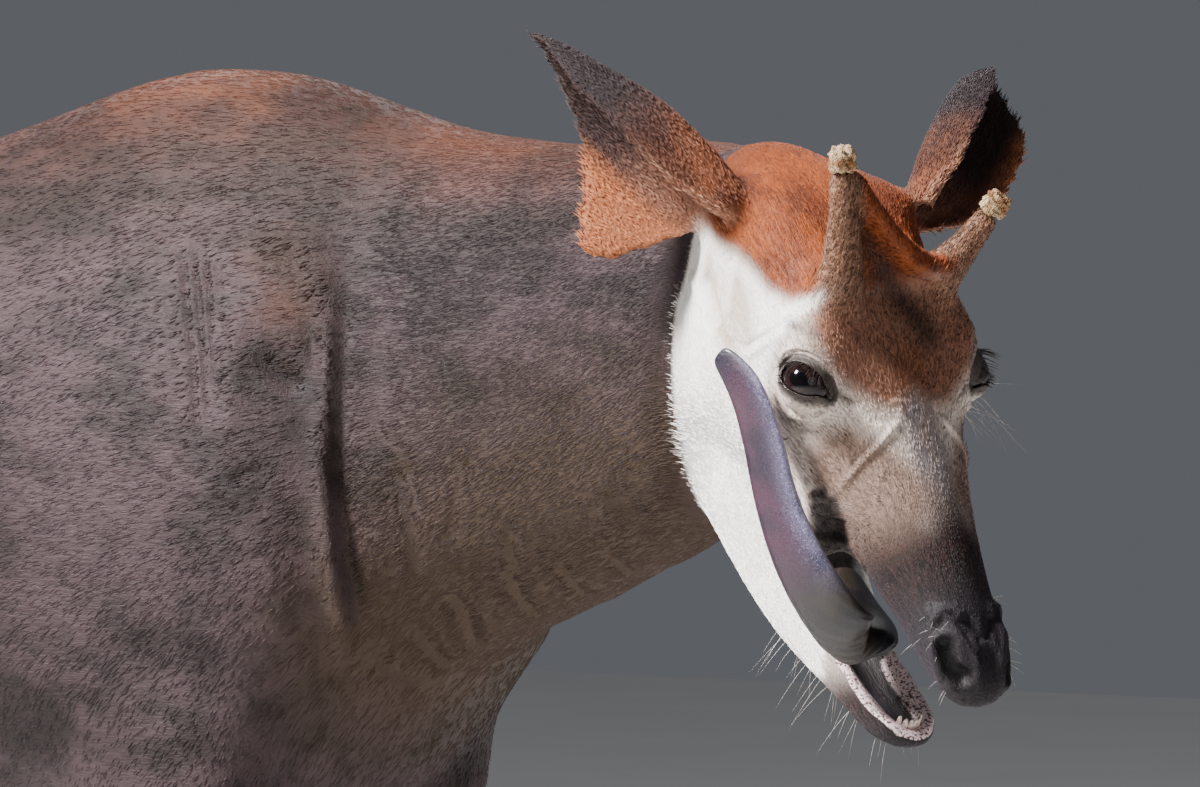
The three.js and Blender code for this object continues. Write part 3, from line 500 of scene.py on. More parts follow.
# Strokes on the body, on its right side: a path, the width and the height of the form along it.
BODY_FOLDS = [
    # the front edge of the shoulder and the groove before it
    ([(491, -136, 1390), (507, -147, 1327), (511, -156, 1269), (512, -165, 1211), (519, -164, 1136),
     (517, -142, 1069), (501, -118, 1025)], 9, 8.5),
    ([(503, -128, 1380), (519, -140, 1321), (525, -150, 1266), (526, -158, 1209), (532, -155, 1136),
     (530, -134, 1072)], 8, -7.0),
    ([(493, -147, 1361), (496, -158, 1319), (505, -161, 1269)], 5, -2.5),
    # wrinkles over the shoulder
    ([(362, -161, 1405), (386, -186, 1352), (404, -202, 1302), (417, -213, 1244),
     (422, -218, 1213)], 3.4, -3.0),
    ([(371, -158, 1408), (396, -183, 1352), (416, -201, 1294), (428, -212, 1236)], 3.4, -3.4),
    ([(384, -160, 1401), (407, -181, 1352), (423, -196, 1302), (431, -207, 1253)], 3.4, -3.2),
    ([(399, -162, 1393), (416, -179, 1352), (429, -193, 1311)], 3.4, -2.4),
    ([(350, -160, 1400), (372, -188, 1345), (388, -204, 1290), (398, -214, 1235)], 4, -2.0),
    # the hollow of the shoulder and the swellings about it
    ([(449, -212, 1196), (458, -207, 1208), (472, -201, 1210), (478, -203, 1187)], 5, -4.5),
    ([(440, -206, 1230), (446, -205, 1260), (440, -195, 1300), (432, -178, 1350)], 9, 3.0),
    ([(459, -186, 1313), (474, -184, 1298), (487, -176, 1286), (495, -169, 1276)], 10, -9.0),
    ([(428, -152, 1400), (453, -145, 1405), (481, -138, 1402), (494, -146, 1361), (485, -160, 1344)], 12, 4.0),
    ([(468, -170, 1388), (474, -176, 1350), (470, -184, 1325)], 12, -4.0),
    # wrinkles at the foot of the neck
    ([(576, -146, 1225), (581, -141, 1191), (584, -132, 1158), (580, -118, 1124)], 6, -3.2),
    ([(582, -146, 1237), (588, -142, 1204), (594, -134, 1171)], 4, -2.2),
    ([(672, -123, 1176), (668, -111, 1151), (661, -91, 1121)], 6, -2.6),
    ([(640, -142, 1230), (632, -136, 1190), (620, -122, 1150)], 9, -2.4),
    ([(560, -150, 1330), (566, -152, 1270), (560, -150, 1215)], 12, -2.6),
    # a round hollow on the neck, and its rim
    ([(787, -119, 1185)], 15, -5.0),
    ([(787 + 17 * math.cos(a), -119, 1185 + 17 * math.sin(a)) for a in np.linspace(0, 6.28, 13)], 5, 1.6),
    # folds across the throat
    ([(519, -150, 1086), (518, -135, 1064), (503, -119, 1029)], 6, -3.6),
    ([(528, -109, 1059), (527, -76, 1036), (533, -41, 1031)], 6, -4.2),
    ([(561, -94, 1080), (556, -65, 1058), (552, -32, 1043)], 6, -4.2),
    ([(603, -102, 1111), (598, -74, 1085), (576, -29, 1057)], 6, -4.2),
    ([(656, -100, 1129), (652, -74, 1103), (646, -40, 1085)], 6, -3.6),
    ([(705, -95, 1139), (703, -71, 1117), (699, -44, 1103)], 5, -3.2),
    ([(748, -92, 1160), (750, -72, 1140), (748, -48, 1124)], 5, -2.6),
    # flank, thigh and elbow
    ([(-380, -150, 1150), (-350, -165, 1080), (-330, -160, 1000), (-350, -140, 930)], 14, -4.0),
    ([(-560, -118, 1240), (-520, -150, 1180), (-470, -170, 1100)], 22, 5.0),
    ([(250, -190, 960), (320, -200, 985), (400, -195, 990)], 12, -4.0),
]
# Strokes on the face, on either side, in the head frame.
FACE_FOLDS = [
    # the crease at the temple
    ([(152, 93, 17), (165, 94, 7), (180, 92, 16), (187, 88, 40), (196, 85, 71), (196, 75, 90),
     (191, 71, 114)], 1.8, -1.8),
    ([(172, 91, 5), (187, 90, 16), (194, 87, 40), (203, 84, 71), (203, 74, 92)], 4, 1.6),
    ([(112, 84, 50), (133, 90, 32), (152, 93, 17)], 4, 2.0),
    # the vein and its branches
    ([(293, 17, 64), (302, 29, 58), (310, 40, 49), (314, 50, 36), (318, 57, 22), (320, 61, 8),
     (320, 62, -2)], 2.8, 2.4),
    ([(293, 17, 64), (285, 18, 67), (280, 26, 68)], 2.4, 1.6),
    ([(298, 33, 54), (306, 43, 46), (310, 53, 34), (314, 60, 20)], 2.0, -1.2),
    ([(326, 38, 43), (331, 42, 37), (338, 46, 29)], 1.5, 1.0),
    ([(295, 55, -37), (306, 60, -22), (317, 63, -6), (325, 60, -1)], 4, 2.6),
    # the corner of the mouth
    ([(322, 58, -24), (336, 55, -42)], 15, -10.0),
    # the hollow below the ear
    ([(92, 84, 3), (111, 88, 4), (129, 92, 3), (150, 94, 0)], 9, -5.0),
    # the nostril and the nose, with creases before the eye and forms of the lips
    ([(462, 37, -11), (453, 34, 1), (450, 27, 10), (461, 24, 10), (477, 21, 8), (490, 15, 4), (500, 11, 0),
     (513, 13, -11), (514, 21, -18)], 3.4, 3.8),
    ([(457, 14, 14), (469, 9, 12), (482, 0, 9)], 5, -2.4),
    ([(262, 69, 62), (272, 57, 60), (279, 47, 62)], 2.6, -1.8),
    ([(236, 94, 4), (252, 88, 14), (264, 80, 27), (273, 68, 44)], 2.2, -1.3),
    ([(232, 95, -6), (250, 89, 4), (266, 80, 16), (277, 68, 34)], 2.6, -1.0),
    ([(75, 77, -16), (92, 83, -14), (109, 87, -11), (135, 93, -5)], 5, 2.0),
    ([(350, 51, -23), (362, 47, -29), (374, 43, -32)], 4, 1.8),
    ([(447, 36, -3), (445, 31, 7), (452, 19, 15), (462, 14, 14)], 4.5, 2.4),
    ([(460, 34, 0), (474, 38, -15), (496, 34, -25), (511, 24, -19)], 4, 2.6),
    ([(470, 10, 8), (486, 10, 4), (500, 11, -5)], 4, 2.0),
    ([(500, 0, -14), (498, 0, -30), (490, 0, -44)], 2.6, -2.0),
    ([(330, 66, -22), (352, 60, -42), (378, 52, -62)], 6, 1.6),
    ([(404, 30, -124), (420, 31, -124), (440, 31, -122), (456, 29, -118), (472, 22, -112),
     (482, 8, -108)], 4, 2.2),
    # fine wrinkles at the ear's base
    *[([(70 + 8 * k, 98 - 2 * k, 12 + 5 * k), (72 + 8 * k, 93 - 2 * k, 34 + 2.5 * k)], 1.7, -1.5)
      for k in range(6)],
]
NOSTRIL = [(477, 33, 0), (486, 33, -4), (495, 31, -8), (502, 24, -9)]
LIP_RIM = [(405, 24, -124), (431, 25, -124), (455, 24, -118), (474, 17, -111), (483, 0, -108)]
ROLL = [(136, -56, 182), (152, -38, 163), (171, -14, 143), (183, 12, 126), (190, 34, 119), (191, 50, 121)]
ROLL_SHADOW = [(150, -40, 143), (166, -25, 130), (182, -10, 114), (202, 8, 98), (219, 20, 92), (232, 26, 88)]


def mirrored(path):
    """The same path on the left side of the bent neck and body."""
    path = np.asarray(path, float)
    bend = -NECK_BEND * np.clip(path[:, 0] - NECK_BEND_START, 0, None) ** 2
    return np.stack([path[:, 0], 2 * bend - path[:, 1], path[:, 2]], axis=1)


# Eyes: a ring-built patch of skin for each, so that the lids are clean and close on the ball.
EYE_OUT = unit(np.array([0.2, 0.8, 0.56]))
EYE_LONG = np.array([54.0, -19.0, 25.0])
OPENING = {"half_length": 19.4, "upper": 12.6, "lower": 11.4, "duct": 6.0}
PATCH_RADIUS = 31.0
PATCH_COLUMNS = 104
EYE_REACH, EYE_DEPTH = 60, 48  # the skin about an eye, across and in depth
RING_START, RING_END = 25, 42  # the skin round an eye whose curve the lids run out into
LID_ROOM = 1.9                # the least that a lid stands off the ball
LID_FADE = (1.0, 12.0)        # where the lids run out into the face, from their edge
LID = 2.3                     # how thick the lids are
POCKET = 0.7                  # room between the ball and the skin behind the lids
# rings of the lids, from the patch's border to their edge, and of the pocket, from their edge to its back
LID_RINGS = (1.0, 0.9, 0.8, 0.7, 0.62, 0.54, 0.47, 0.41, 0.36, 0.31, 0.265, 0.225, 0.19, 0.155, 0.12, 0.09,
             0.06, 0.035, 0.014)
POCKET_RINGS = (0.0, 0.03, 0.12, 0.28, 0.45, 0.62, 0.8)
# folds along the lids: height, distance from the lids' edge, width
UPPER_FOLDS = ((-1.6, 5.6, 1.3), (-1.2, 9.4, 1.2), (-0.9, 13.2, 1.3), (1.2, 7.6, 1.5), (1.0, 11.4, 1.4))
LOWER_FOLDS = ((-1.1, 5.4, 1.4), (-0.8, 9.5, 1.6), (0.6, 7.4, 1.5))


class EyeFrame:
    """An eye's own frame: along the opening, up, and out of it."""

    def __init__(self, side):
        flip = np.array([1, side, 1])
        self.centre = EYE * flip
        out = EYE_OUT * flip
        long = EYE_LONG * flip
        long = unit(long - (long @ out) * out)
        up = np.cross(out, long)
        up = up if up @ [-0.5, 0, 0.8] > 0 else -up
        self.axes = np.stack([long, up, out], axis=1)

    def into(self, local):
        return (local - self.centre) @ self.axes

    def back(self, points):
        return from_head(points @ self.axes.T + self.centre)


def from_corner(angle):
    """How far round an angle is from the eye's inner corner."""
    return np.angle(np.exp(1j * angle))


def opening_rim(angle):
    """The lids' edge in the eye's plane: a flat upper lid, a round lower one and a drawn-out inner corner."""
    c, s = np.cos(angle), np.sin(angle)
    duct = bell(from_corner(angle), 0.3)
    u = OPENING["half_length"] * np.sign(c) * np.abs(c) ** 0.92 + OPENING["duct"] * duct
    v = np.where(s > 0, OPENING["upper"] * np.abs(s) ** 0.86, -OPENING["lower"] * np.abs(s) ** 0.95)
    return np.stack([u, v - 2.2 * duct + 0.6], axis=1)


def lid_folds(s, v, angle):
    """Folds round the opening: s is the distance from the lids' edge."""
    upper = ramp(v, -6, 4)
    above, below = (sum(height * bell(s - at, width) for height, at, width in folds)
                    for folds in (UPPER_FOLDS, LOWER_FOLDS))
    return (upper * above + (1 - upper) * below) * (1 - 0.55 * bell(from_corner(angle), 0.4))


def dome(radius, size, least):
    """A ball's height over the eye's plane."""
    return np.sqrt(np.maximum(radius ** 2 - size ** 2, least))


def set_eye(skin, side):
    """Cuts the skin open round an eye and closes it with lids that lead back round the ball."""
    eye = EyeFrame(side)
    flat = eye.into(skin.local)
    r = np.hypot(flat[:, 0], flat[:, 1])
    near = (np.abs(flat[:, 2]) < EYE_DEPTH) & (r < EYE_REACH)
    ring = near & (r > RING_START) & (r < RING_END) & (flat[:, 2] > -4) & (skin.facing @ eye.axes[:, 2] > 0.25)

    def terms(u, v):
        return np.stack([np.ones_like(u), u, v, u * u, u * v, v * v], axis=1)

    fit = np.linalg.lstsq(terms(*flat[ring, :2].T), flat[ring, 2], rcond=None)[0]
    inside = near & (r < PATCH_RADIUS) & (flat[:, 2] < 45)
    faces = skin.faces[~inside[skin.faces].any(axis=1)]
    sides = sides_of(faces)
    key = {(a, b) for a, b in sides[near[sides].all(axis=1)]}
    follow = {b: a for a, b in key if (b, a) not in key and r[a] < 45 and r[b] < 45}
    start = max(follow, key=lambda i: flat[i, 0])
    loop, step = [start], follow[start]
    while step != start:
        loop.append(step)
        step = follow[step]
    turn = np.unwrap(np.arctan2(flat[loop, 1], flat[loop, 0]))
    if turn[-1] < turn[0]:
        loop, turn = loop[::-1], turn[::-1]
    turn = np.maximum.accumulate(turn)

    angle = np.linspace(0, FULL_TURN, PATCH_COLUMNS, endpoint=False)
    rim = opening_rim(angle)
    outer = (PATCH_RADIUS - 1.5) * np.stack([np.cos(angle), np.sin(angle)], axis=1)
    rings, lids = [], []
    for t in LID_RINGS:
        place = rim + (outer - rim) * t
        s = np.linalg.norm(place - rim, axis=1)
        size = np.linalg.norm(place, axis=1)
        share = ramp(s, *LID_FADE)
        height = dome(EYE_RADIUS + LID + 0.3, size, 9.0) * (1 - share) + terms(*place.T) @ fit * share
        height = np.maximum(height + lid_folds(s, place[:, 1], angle), dome(EYE_RADIUS + LID_ROOM, size, 0))
        rings.append(np.column_stack([place, height - bell(s, 0.8)]))
        lids.append(s)
    start_angle = np.arcsin(np.clip(np.linalg.norm(rim, axis=1) * 0.985 / (EYE_RADIUS + 1.0), 0, 0.97))
    for k, t in enumerate(POCKET_RINGS):
        radius = EYE_RADIUS + (POCKET if k else 1.0)
        polar = start_angle + (math.pi - start_angle) * t
        rings.append(np.column_stack([unit(rim) * (radius * np.sin(polar))[:, None], radius * np.cos(polar)]))
        lids.append(np.full(PATCH_COLUMNS, -1.0 - 2.0 * k))
    fresh = np.concatenate([*rings, [[0, 0, -(EYE_RADIUS + POCKET)]]])
    base = len(skin.points)
    grid = base + np.arange(len(rings) * PATCH_COLUMNS).reshape(len(rings), -1)
    after = np.roll(grid, -1, axis=1)
    patch = np.concatenate([
        np.array(band(loop, turn, grid[0], angle + FULL_TURN * round((turn[0] - angle[0]) / FULL_TURN))),
        rows(grid[:-1], after[:-1], after[1:]), rows(grid[:-1], after[1:], grid[1:]),
        rows(grid[-1], after[-1], np.full(PATCH_COLUMNS, base + len(fresh) - 1))])
    if (loop[0], loop[1]) in key:
        patch = patch[:, ::-1]
    used = np.concatenate([faces, patch])
    wanted = np.unique(used)
    number = np.full(base + len(fresh), -1)
    number[wanted] = np.arange(len(wanted))
    skin.points = np.concatenate([skin.points, eye.back(fresh)])[wanted]
    skin.owner = np.concatenate([skin.owner, np.full(len(fresh), NODES.index("head"))])[wanted]
    skin.held["lid"] = np.concatenate([skin.held["lid"], *lids, [-20.0]])[wanted]
    skin.faces = number[used]
    skin.relink()


def smooth_skin(skin):
    """Evens out the remeshing's steps, then draws the limbs back onto the CAD surfaces."""
    share = np.array([SMOOTH_SHARE[n] for n in NODES])[skin.owner]
    share = np.where(reach_of(skin.local, ROLL, 60) < 20, np.minimum(share, 0.14), share)
    skin.smooth(skin.averaged(share, 3), SMOOTHING)
    limbs = skin.owned(*LEGS, "tail") & ((skin.points[:, 2] < LIMB_TOP) | skin.owned("tail"))
    pull = 0.92 * skin.averaged(limbs, 2) * limbs
    for i in np.flatnonzero(pull > 0.01):
        place = FLESH_TREE.find_nearest(Vector(skin.points[i]))[0]
        skin.points[i] += pull[i] * (np.array(place) - skin.points[i])
    skin.refresh()
    skin.smooth(0.3 * pull, 2)


def feature_size(points):
    """How long an edge may be near each place: short along the strokes and round eyes, lips and nostrils."""
    local = to_head(points)
    pair = paired(local)
    size = np.full(len(points), FAR)
    for path, width, _ in BODY_FOLDS:
        for side in (path, mirrored(path)):
            size[reach_of(points, side, 3 * width) < 1.9 * width + 2] = max(4.6, 1.1 * width)
    for path, width, _ in FACE_FOLDS:
        size[reach_of(pair, path, 3 * width + 3) < 1.8 * width + 2] = 3.2 if width > 2.9 else 2.3
    size[np.linalg.norm(pair - EYE, axis=1) < 40] = 3.0
    for places_there, path, reach, close, longest in (
            (pair, NOSTRIL, 24, 16, 1.9), (local, ROLL, 40, 22, 3.2), (pair, LIP_RIM, 24, 10, 2.8)):
        size[reach_of(places_there, path, reach) < close] = longest
    return size


LEFT_FOLDS = 0.8              # how strong the left side's folds are against the right's
ROLL_HEIGHT, ROLL_GROOVE, ROLL_FADE = 5.0, -4.0, 0.08
GROOVE_OFFSET = [15, -2, -9]  # from the roll to the groove beside it
NOSTRIL_WIDTH, NOSTRIL_DEPTH = 6.4, 5.2
NOSTRIL_RIM = 1.4
EAR_THINNING = 1.1


def sculpt(skin):
    smooth_skin(skin)
    for side in SIDES.values():
        set_eye(skin, side)
    for _ in range(3):
        skin.refine(feature_size)
    free = skin.held["lid"] > 24
    calm = 0.4 * skin.averaged(free & ~skin.owned(*EARS), 2)
    skin.smooth(calm * free, 5)
    height = np.zeros(len(skin.points))
    for path, width, amount in BODY_FOLDS:
        height += fold(skin.points, path, width, amount)
        height += LEFT_FOLDS * fold(skin.points, mirrored(path), width, amount)
    for path, width, amount in FACE_FOLDS:
        height += fold(skin.paired, path, width, amount) * (skin.held["lid"] > 14)
    height += fold(skin.local, ROLL, 8, ROLL_HEIGHT, ROLL_FADE)
    height += fold(skin.local, np.array(ROLL) + GROOVE_OFFSET, 7, ROLL_GROOVE, ROLL_FADE)
    skin.push(height)
    hole = reach_of(skin.paired, NOSTRIL, 30)
    # pit marks the nostril holes, which the coat paints near black as painted shade
    skin.held["pit"] = bell(hole, 8.5, 3)
    skin.push(NOSTRIL_RIM * bell(hole - 11.5, 3.6))
    inward = HEAD_AXES @ unit(np.array([-1.0, 0, -0.25]))
    for _ in range(4):
        depth = NOSTRIL_DEPTH * bell(reach_of(skin.paired, NOSTRIL, 30), NOSTRIL_WIDTH, 3)[:, None]
        skin.points += depth * (inward - 0.25 * np.sign(skin.local[:, [1]]) * HEAD_AXES[:, 1])
        skin.refresh()
    skin.smooth(0.4 * ramp(24 - hole, 0, 10), 4)
    skin.push(-EAR_THINNING * skin.blurred(*EARS, times=2))


shell = build_shell()
skin_form = Skin(shell)
shell.free()
sculpt(skin_form)

# Markings, as numbers held at points. Distances are in millimetres, positive inside.
# The patches are drawn on the side of the head, along the face and out of the brow.
CHEEK_EDGE = [(58, 0), (71, -16), (88, -41), (112, -63), (136, -85), (153, -103), (175, -129), (197, -155),
              (222, -186)]
WHITE_PATCH = [(50, 14), (64, 30), (84, 38), (107, 46), (133, 56), (156, 59), (178, 73), (188, 92), (190, 106),
               (198, 104), (201, 66), (206, 34), (222, 8), (243, -12), (258, -34), (272, -62), (305, -86),
               (350, -106), (380, -124), (398, -142), (384, -176), (330, -210), (250, -240), *CHEEK_EDGE[::-1]]
CROWN = [(-60, 260), (-46, 60), (10, 30), (52, 30), (85, 36), (109, 50), (133, 55), (156, 58), (178, 72),
         (191, 92), (196, 110), (205, 130), (205, 260)]
FACE_PATCH = [(-40, 280), (-30, 60), (30, 34), (50, 14), *CHEEK_EDGE, (250, -250), (640, -300), (640, 280)]
BROW = [(200, 44, 100), (222, 60, 90), (244, 50, 82), (264, 26, 76), (246, 0, 84)]
FOREHEAD = [(216, 0, 112), (222, 26, 104), (246, 14, 90)]
WHORL = [(311, 60, 20), (329, 50, 28), (351, 42, 30), (366, 46, 10), (392, 40, 6), (358, 50, -12)]
TEMPLE = [(108, 87, 22), (138, 92, 24), (158, 93, 16)]
# dark lines on both sides of the face: a path, its width and its strength
DARK_LINES = (
    ([(262, 69, 62), (272, 57, 60)], 3.0, 0.8),
    ([(250, 84, 10), (266, 79, 21)], 8, 0.5),
    ([(196, 87, 68), (214, 87, 81), (226, 82, 86)], 5, 0.6),
)
MOUTH_CORNER = [(320, 59, -22), (336, 55, -42)]
EAR_SHADOW = [(96, 78, 96), (110, 79, 101)]
LID_CREASE_SHADE = (10.2, 13.6, 17.0)   # painted shade in the creases over the upper lid, at these distances from its edge
SHOULDER_TUFT = [(450, -146, 1398), (476, -150, 1372), (478, -165, 1345)]
SHOULDER_HOLLOW = [(459, -186, 1313), (474, -184, 1298), (487, -176, 1286), (495, -169, 1276)]
# ear: its root, its tip, and the way it opens
EAR_LINES = {"ear_right": ([64, -86, 52], [-112, -196, 66], [0.34, -0.66, -0.68]),
             "ear_left": ([99, 96, 84], [-38, 246, 76], [0.76, 0.51, 0.43])}
STRIPE_PITCH = 46.0
# the height up to which the coat runs down the legs, and over how much it turns: its pattern and its tufts
PATTERN_TURN, TUFT_TURN = (900, 150), (940, 180)
OUTSIDE = -200
RAY_LIFT, RAY_LENGTH = 0.8, 90.0


def patch(flat, polygon):
    """Signed distance from points of a plane to a polygon's edge, positive inside."""
    polygon = np.asarray(polygon, float)
    best = np.full(len(flat), 1e9)
    inside = np.zeros(len(flat), bool)
    for a, b in zip(polygon, np.roll(polygon, -1, axis=0)):
        step = b - a
        t = np.clip(((flat - a) @ step) / (step @ step), 0, 1)
        best = np.minimum(best, np.linalg.norm(flat - a - t[:, None] * step, axis=1))
        crosses = (a[1] > flat[:, 1]) != (b[1] > flat[:, 1])
        level = step[1] if abs(step[1]) > 1e-9 else 1e-9
        inside ^= crosses & (flat[:, 0] < a[0] + step[0] * (flat[:, 1] - a[1]) / level)
    return np.where(inside, best, -best)


def near(points, path, reach):
    """reach less the distance to a path: positive within reach of it."""
    return reach - near_path(points, path)[0]


def enclosed(skin):
    """1 where the skin faces another part of itself close by: in the mouth, nostrils and under the tongue. The coat
    paints these places near black as painted shade.
    """
    tree = BVHTree.FromPolygons([Vector(p) for p in skin.points], [tuple(f) for f in skin.faces.tolist()])
    out = np.zeros(len(skin.points))
    box = (skin.local[:, 0] > 190) & (skin.local[:, 2] < 5) & (skin.paired[:, 1] < 60)
    for i in np.flatnonzero(box):
        start = Vector(skin.points[i] + RAY_LIFT * skin.normals[i])
        out[i] = tree.ray_cast(start, Vector(skin.normals[i]), RAY_LENGTH)[0] is not None
    return skin.averaged(out, 3)


def face_marks(skin):
    local, pair = skin.local, skin.paired
    x, y, z = pair.T
    side = pair[:, [0, 2]]
    forwards, _, up = skin.facing.T
    rim, pit = skin.held["lid"], skin.held["pit"]
    jaw = skin.blurred("lower_jaw", times=2)
    temple_edge = np.where(z > 50, y - 42 - 0.15 * (z - 50), 200)
    upper_muzzle = x - 370 - 0.3 * (z - 10) + 12 * bell(y, 22)
    lower_muzzle = x - 398 - 0.35 * (z + 140)
    out = {"face": patch(side, FACE_PATCH)}

    u, v, _ = EyeFrame(1).into(pair).T
    lid = np.maximum(bell(np.maximum(rim, 0), 7.5, 5), bell(np.hypot(u + 23, v - 5), 8, 4)) * (rim < 40)
    # painted shade: dark lines along the creases over the upper lid
    wrinkles = sum(bell(rim - at, 1.3) for at in LID_CREASE_SHADE) * ramp(v, 2, 8)
    dark = [lid, 0.5 * wrinkles * ramp(u, -14, -4), 0.85 * bell(reach_of(local, ROLL_SHADOW, 60), 14),
            # painted shade in the pocket at the mouth's corner, with its dark lining
            0.9 * ramp(reach_of(pair, MOUTH_CORNER, 60), 25, 14), 0.97 * pit,
            0.7 * bell(reach_of(local, EAR_SHADOW, 40), 12)]
    dark += [strength * bell(reach_of(pair, path, 40), width) for path, width, strength in DARK_LINES]

    trough = jaw * ramp(up, 0.0, 0.5) * ramp(27 - y, 0, 5) * (x < 478)
    palate = (1 - jaw) * ramp(-up, 0.2, 0.6) * ramp(30 - y, 0, 5) * ramp(x, 235, 250) * (local[:, 2] < -20)
    inwards = -np.sign(local[:, 1]) * skin.facing[:, 1] * ramp(y, 3, 10) - forwards * ramp(x, 455, 475)
    inside = 26 * np.maximum(up - 0.62, inwards - 0.12)
    gum = np.where(jaw > 0.5, np.minimum(near(pair, LIP_RIM, 12.0), inside), -20.0)
    return {
        **out,
        "white": np.minimum(patch(side, WHITE_PATCH), temple_edge),
        "crown": np.minimum(patch(side, CROWN), out["face"] + 40),
        "brow": np.maximum(near(pair, BROW, 25), near(pair, FOREHEAD, 30)),
        "bridge": np.minimum(19 - y - 0.05 * np.abs(x - 330), x - 246) + OUTSIDE * (local[:, 2] < 0),
        "muzzle": upper_muzzle * (1 - jaw) + lower_muzzle * jaw,
        "whorl": near(pair, WHORL, 33),
        "temple": near(pair, TEMPLE, 24),
        "dark": np.maximum.reduce(dark),
        "pit": pit,
        "mouth": np.maximum.reduce([enclosed(skin), skin.averaged(trough), skin.averaged(palate)]),
        "gum": gum,
        "wet": np.maximum.reduce([lid * (rim < 1.5), 0.8 * pit, 0.8 * ramp(gum, -3, 3)]),
        "stem": skin.blurred("ossicone_right", "ossicone_left", times=2) * ramp(z, 84, 122),
    }


def ear_marks(skin):
    """How far along the ear a point is, whether it is in the cup, and how far out of the ear's middle."""
    along, inner, brim = np.zeros((3, len(skin.points)))
    for line in EAR_LINES.values():
        root, tip, opening = np.array(line, float)
        span, out_of = tip - root, unit(opening)
        mine = np.sign(skin.local[:, 1]) == np.sign(root[1])
        share = np.clip(((skin.local - root) @ span) / (span @ span), 0, 1)
        along = np.where(mine, share, along)
        inner = np.where(mine, ramp(skin.facing @ out_of, -0.12, 0.3), inner)
        brim = np.where(mine, (skin.local - root - share[:, None] * span) @ out_of, brim)
    return {"earness": skin.blurred(*EARS, times=3), "ear": along, "inner": inner, "brim": brim}


def body_marks(skin):
    x, y, z = skin.points.T
    ahead, _, up = skin.normals.T
    fore, hind = (skin.blurred(*legs, times=4) for legs in (LEGS[:2], LEGS[2:]))
    trunk = skin.blurred("torso", "neck", times=4)
    legs = np.maximum(hind, fore)

    rear = ramp(-x, 260, 520)
    rump = ramp(1190 - z, 0, 160) * ramp(z, 520, 600) * ramp(-x, 370, 560) * np.clip(hind + trunk, 0, 1)
    upper_leg = ramp(z, 520, 570) * ramp(820 - z, 0, 120) * fore
    thigh = 1 - 0.35 * ramp(x, -620, -420) * (x < 0)

    shank = np.where(hind > fore, 515 - z + 0.25 * (x + 586), 470 - z)
    band_over_hoof = 30 - np.abs(z - 178 - 0.2 * (x % 50))
    foot = np.where(z < 120, 120 - z, OUTSIDE)
    knee = np.where(fore > hind, 34 - np.abs(z - 500), OUTSIDE)
    seam = np.where(fore > hind, 9, 7) - np.abs(np.abs(y) - 124)
    seam = np.where((ahead > 0.3) & (z < 480), seam, OUTSIDE)

    # crest: chestnut over the withers, on a patch of the shoulder and on the upward-facing back; partly the coat's
    # own reddish top, partly painted top light where the back faces up
    withers = ramp(z, 1380, 1520) * ramp(x, 60, 200)
    crest = np.maximum(ramp(up, 0.35, 0.95) * ramp(x, -500, 100) * 0.75, withers) * trunk
    return {
        "phase": (z - 0.42 * x * rear + 16 * np.sin(x / 90) + 9 * np.sin(y / 45)) / STRIPE_PITCH,
        "stripe": 15 * np.maximum(rump, 0.9 * upper_leg) * thigh - 3,
        "cream": np.where(legs > 0.3, shank, OUTSIDE),
        "bands": np.where(legs > 0.3, np.maximum.reduce([band_over_hoof, foot, knee, seam]), OUTSIDE),
        "crest": np.maximum(crest, 0.9 * bell(reach_of(skin.points, SHOULDER_TUFT, 90), 26)),
        # under: painted light, the downward-facing underside of the neck tinted olive, not a colour of the coat
        "under": ramp(-up, -0.22, 0.5) * trunk * ramp(x, 430, 540),
        # deep: painted shade in the hollow of the shoulder
        "deep": bell(reach_of(skin.points, SHOULDER_HOLLOW, 60), 9),
    }


def on_legs(skin, top, fade):
    """1 on the legs and the tail, fading out up to a height."""
    legs = skin.blurred(*LEGS, "tail", times=6)
    return (legs * ramp(top - skin.points[:, 2], 0, fade))[:, None]


def lay_of(skin):
    """Places in a frame whose first direction runs along the coat, in metres."""
    points = skin.points
    legs = on_legs(skin, *PATTERN_TURN)
    head = ramp(MARKS["face"], -30, 30)[:, None]
    body = points * [0.94, 1, 1] + points[:, [2]] * [0.34, 0, 0]
    lay = body * (1 - legs) + points[:, [2, 1, 0]] * legs
    return (lay * (1 - head) + skin.local * head) / 1000


def hold(mesh, values, vectors=None):
    """Gives a mesh's points their numbers and vectors, by name."""
    for kind, field, rows_of in (("FLOAT", "value", values), ("FLOAT_VECTOR", "vector", vectors or {})):
        for name, numbers in rows_of.items():
            data = mesh.attributes.new(name, kind, "POINT").data
            data.foreach_set(field, np.asarray(numbers, np.float32).ravel())


MARKS = {**face_marks(skin_form), **ear_marks(skin_form), **body_marks(skin_form)}
LAY = lay_of(skin_form)
ROOTS = to_row(skin_form.points)


# Materials. Colours are given as 0 to 255.
def srgb(color):
    return (*(c / 255 / 12.92 if c / 255 <= 0.04045 else ((c / 255 + 0.055) / 1.055) ** 2.4 for c in color), 1.0)


class NodeTree:
    """Makes a tree's nodes one by one."""

    def node(self, kind, *links, **settings):
        node = self.tree.nodes.new(kind)
        for key, value in settings.items():
            setattr(node, key, value)
        for socket, value in links:
            self.put(node.inputs[socket], value)
        return node

    def put(self, socket, value):
        if isinstance(value, bpy.types.NodeSocket):
            self.tree.links.new(value, socket)
        elif value is not None:
            socket.default_value = value


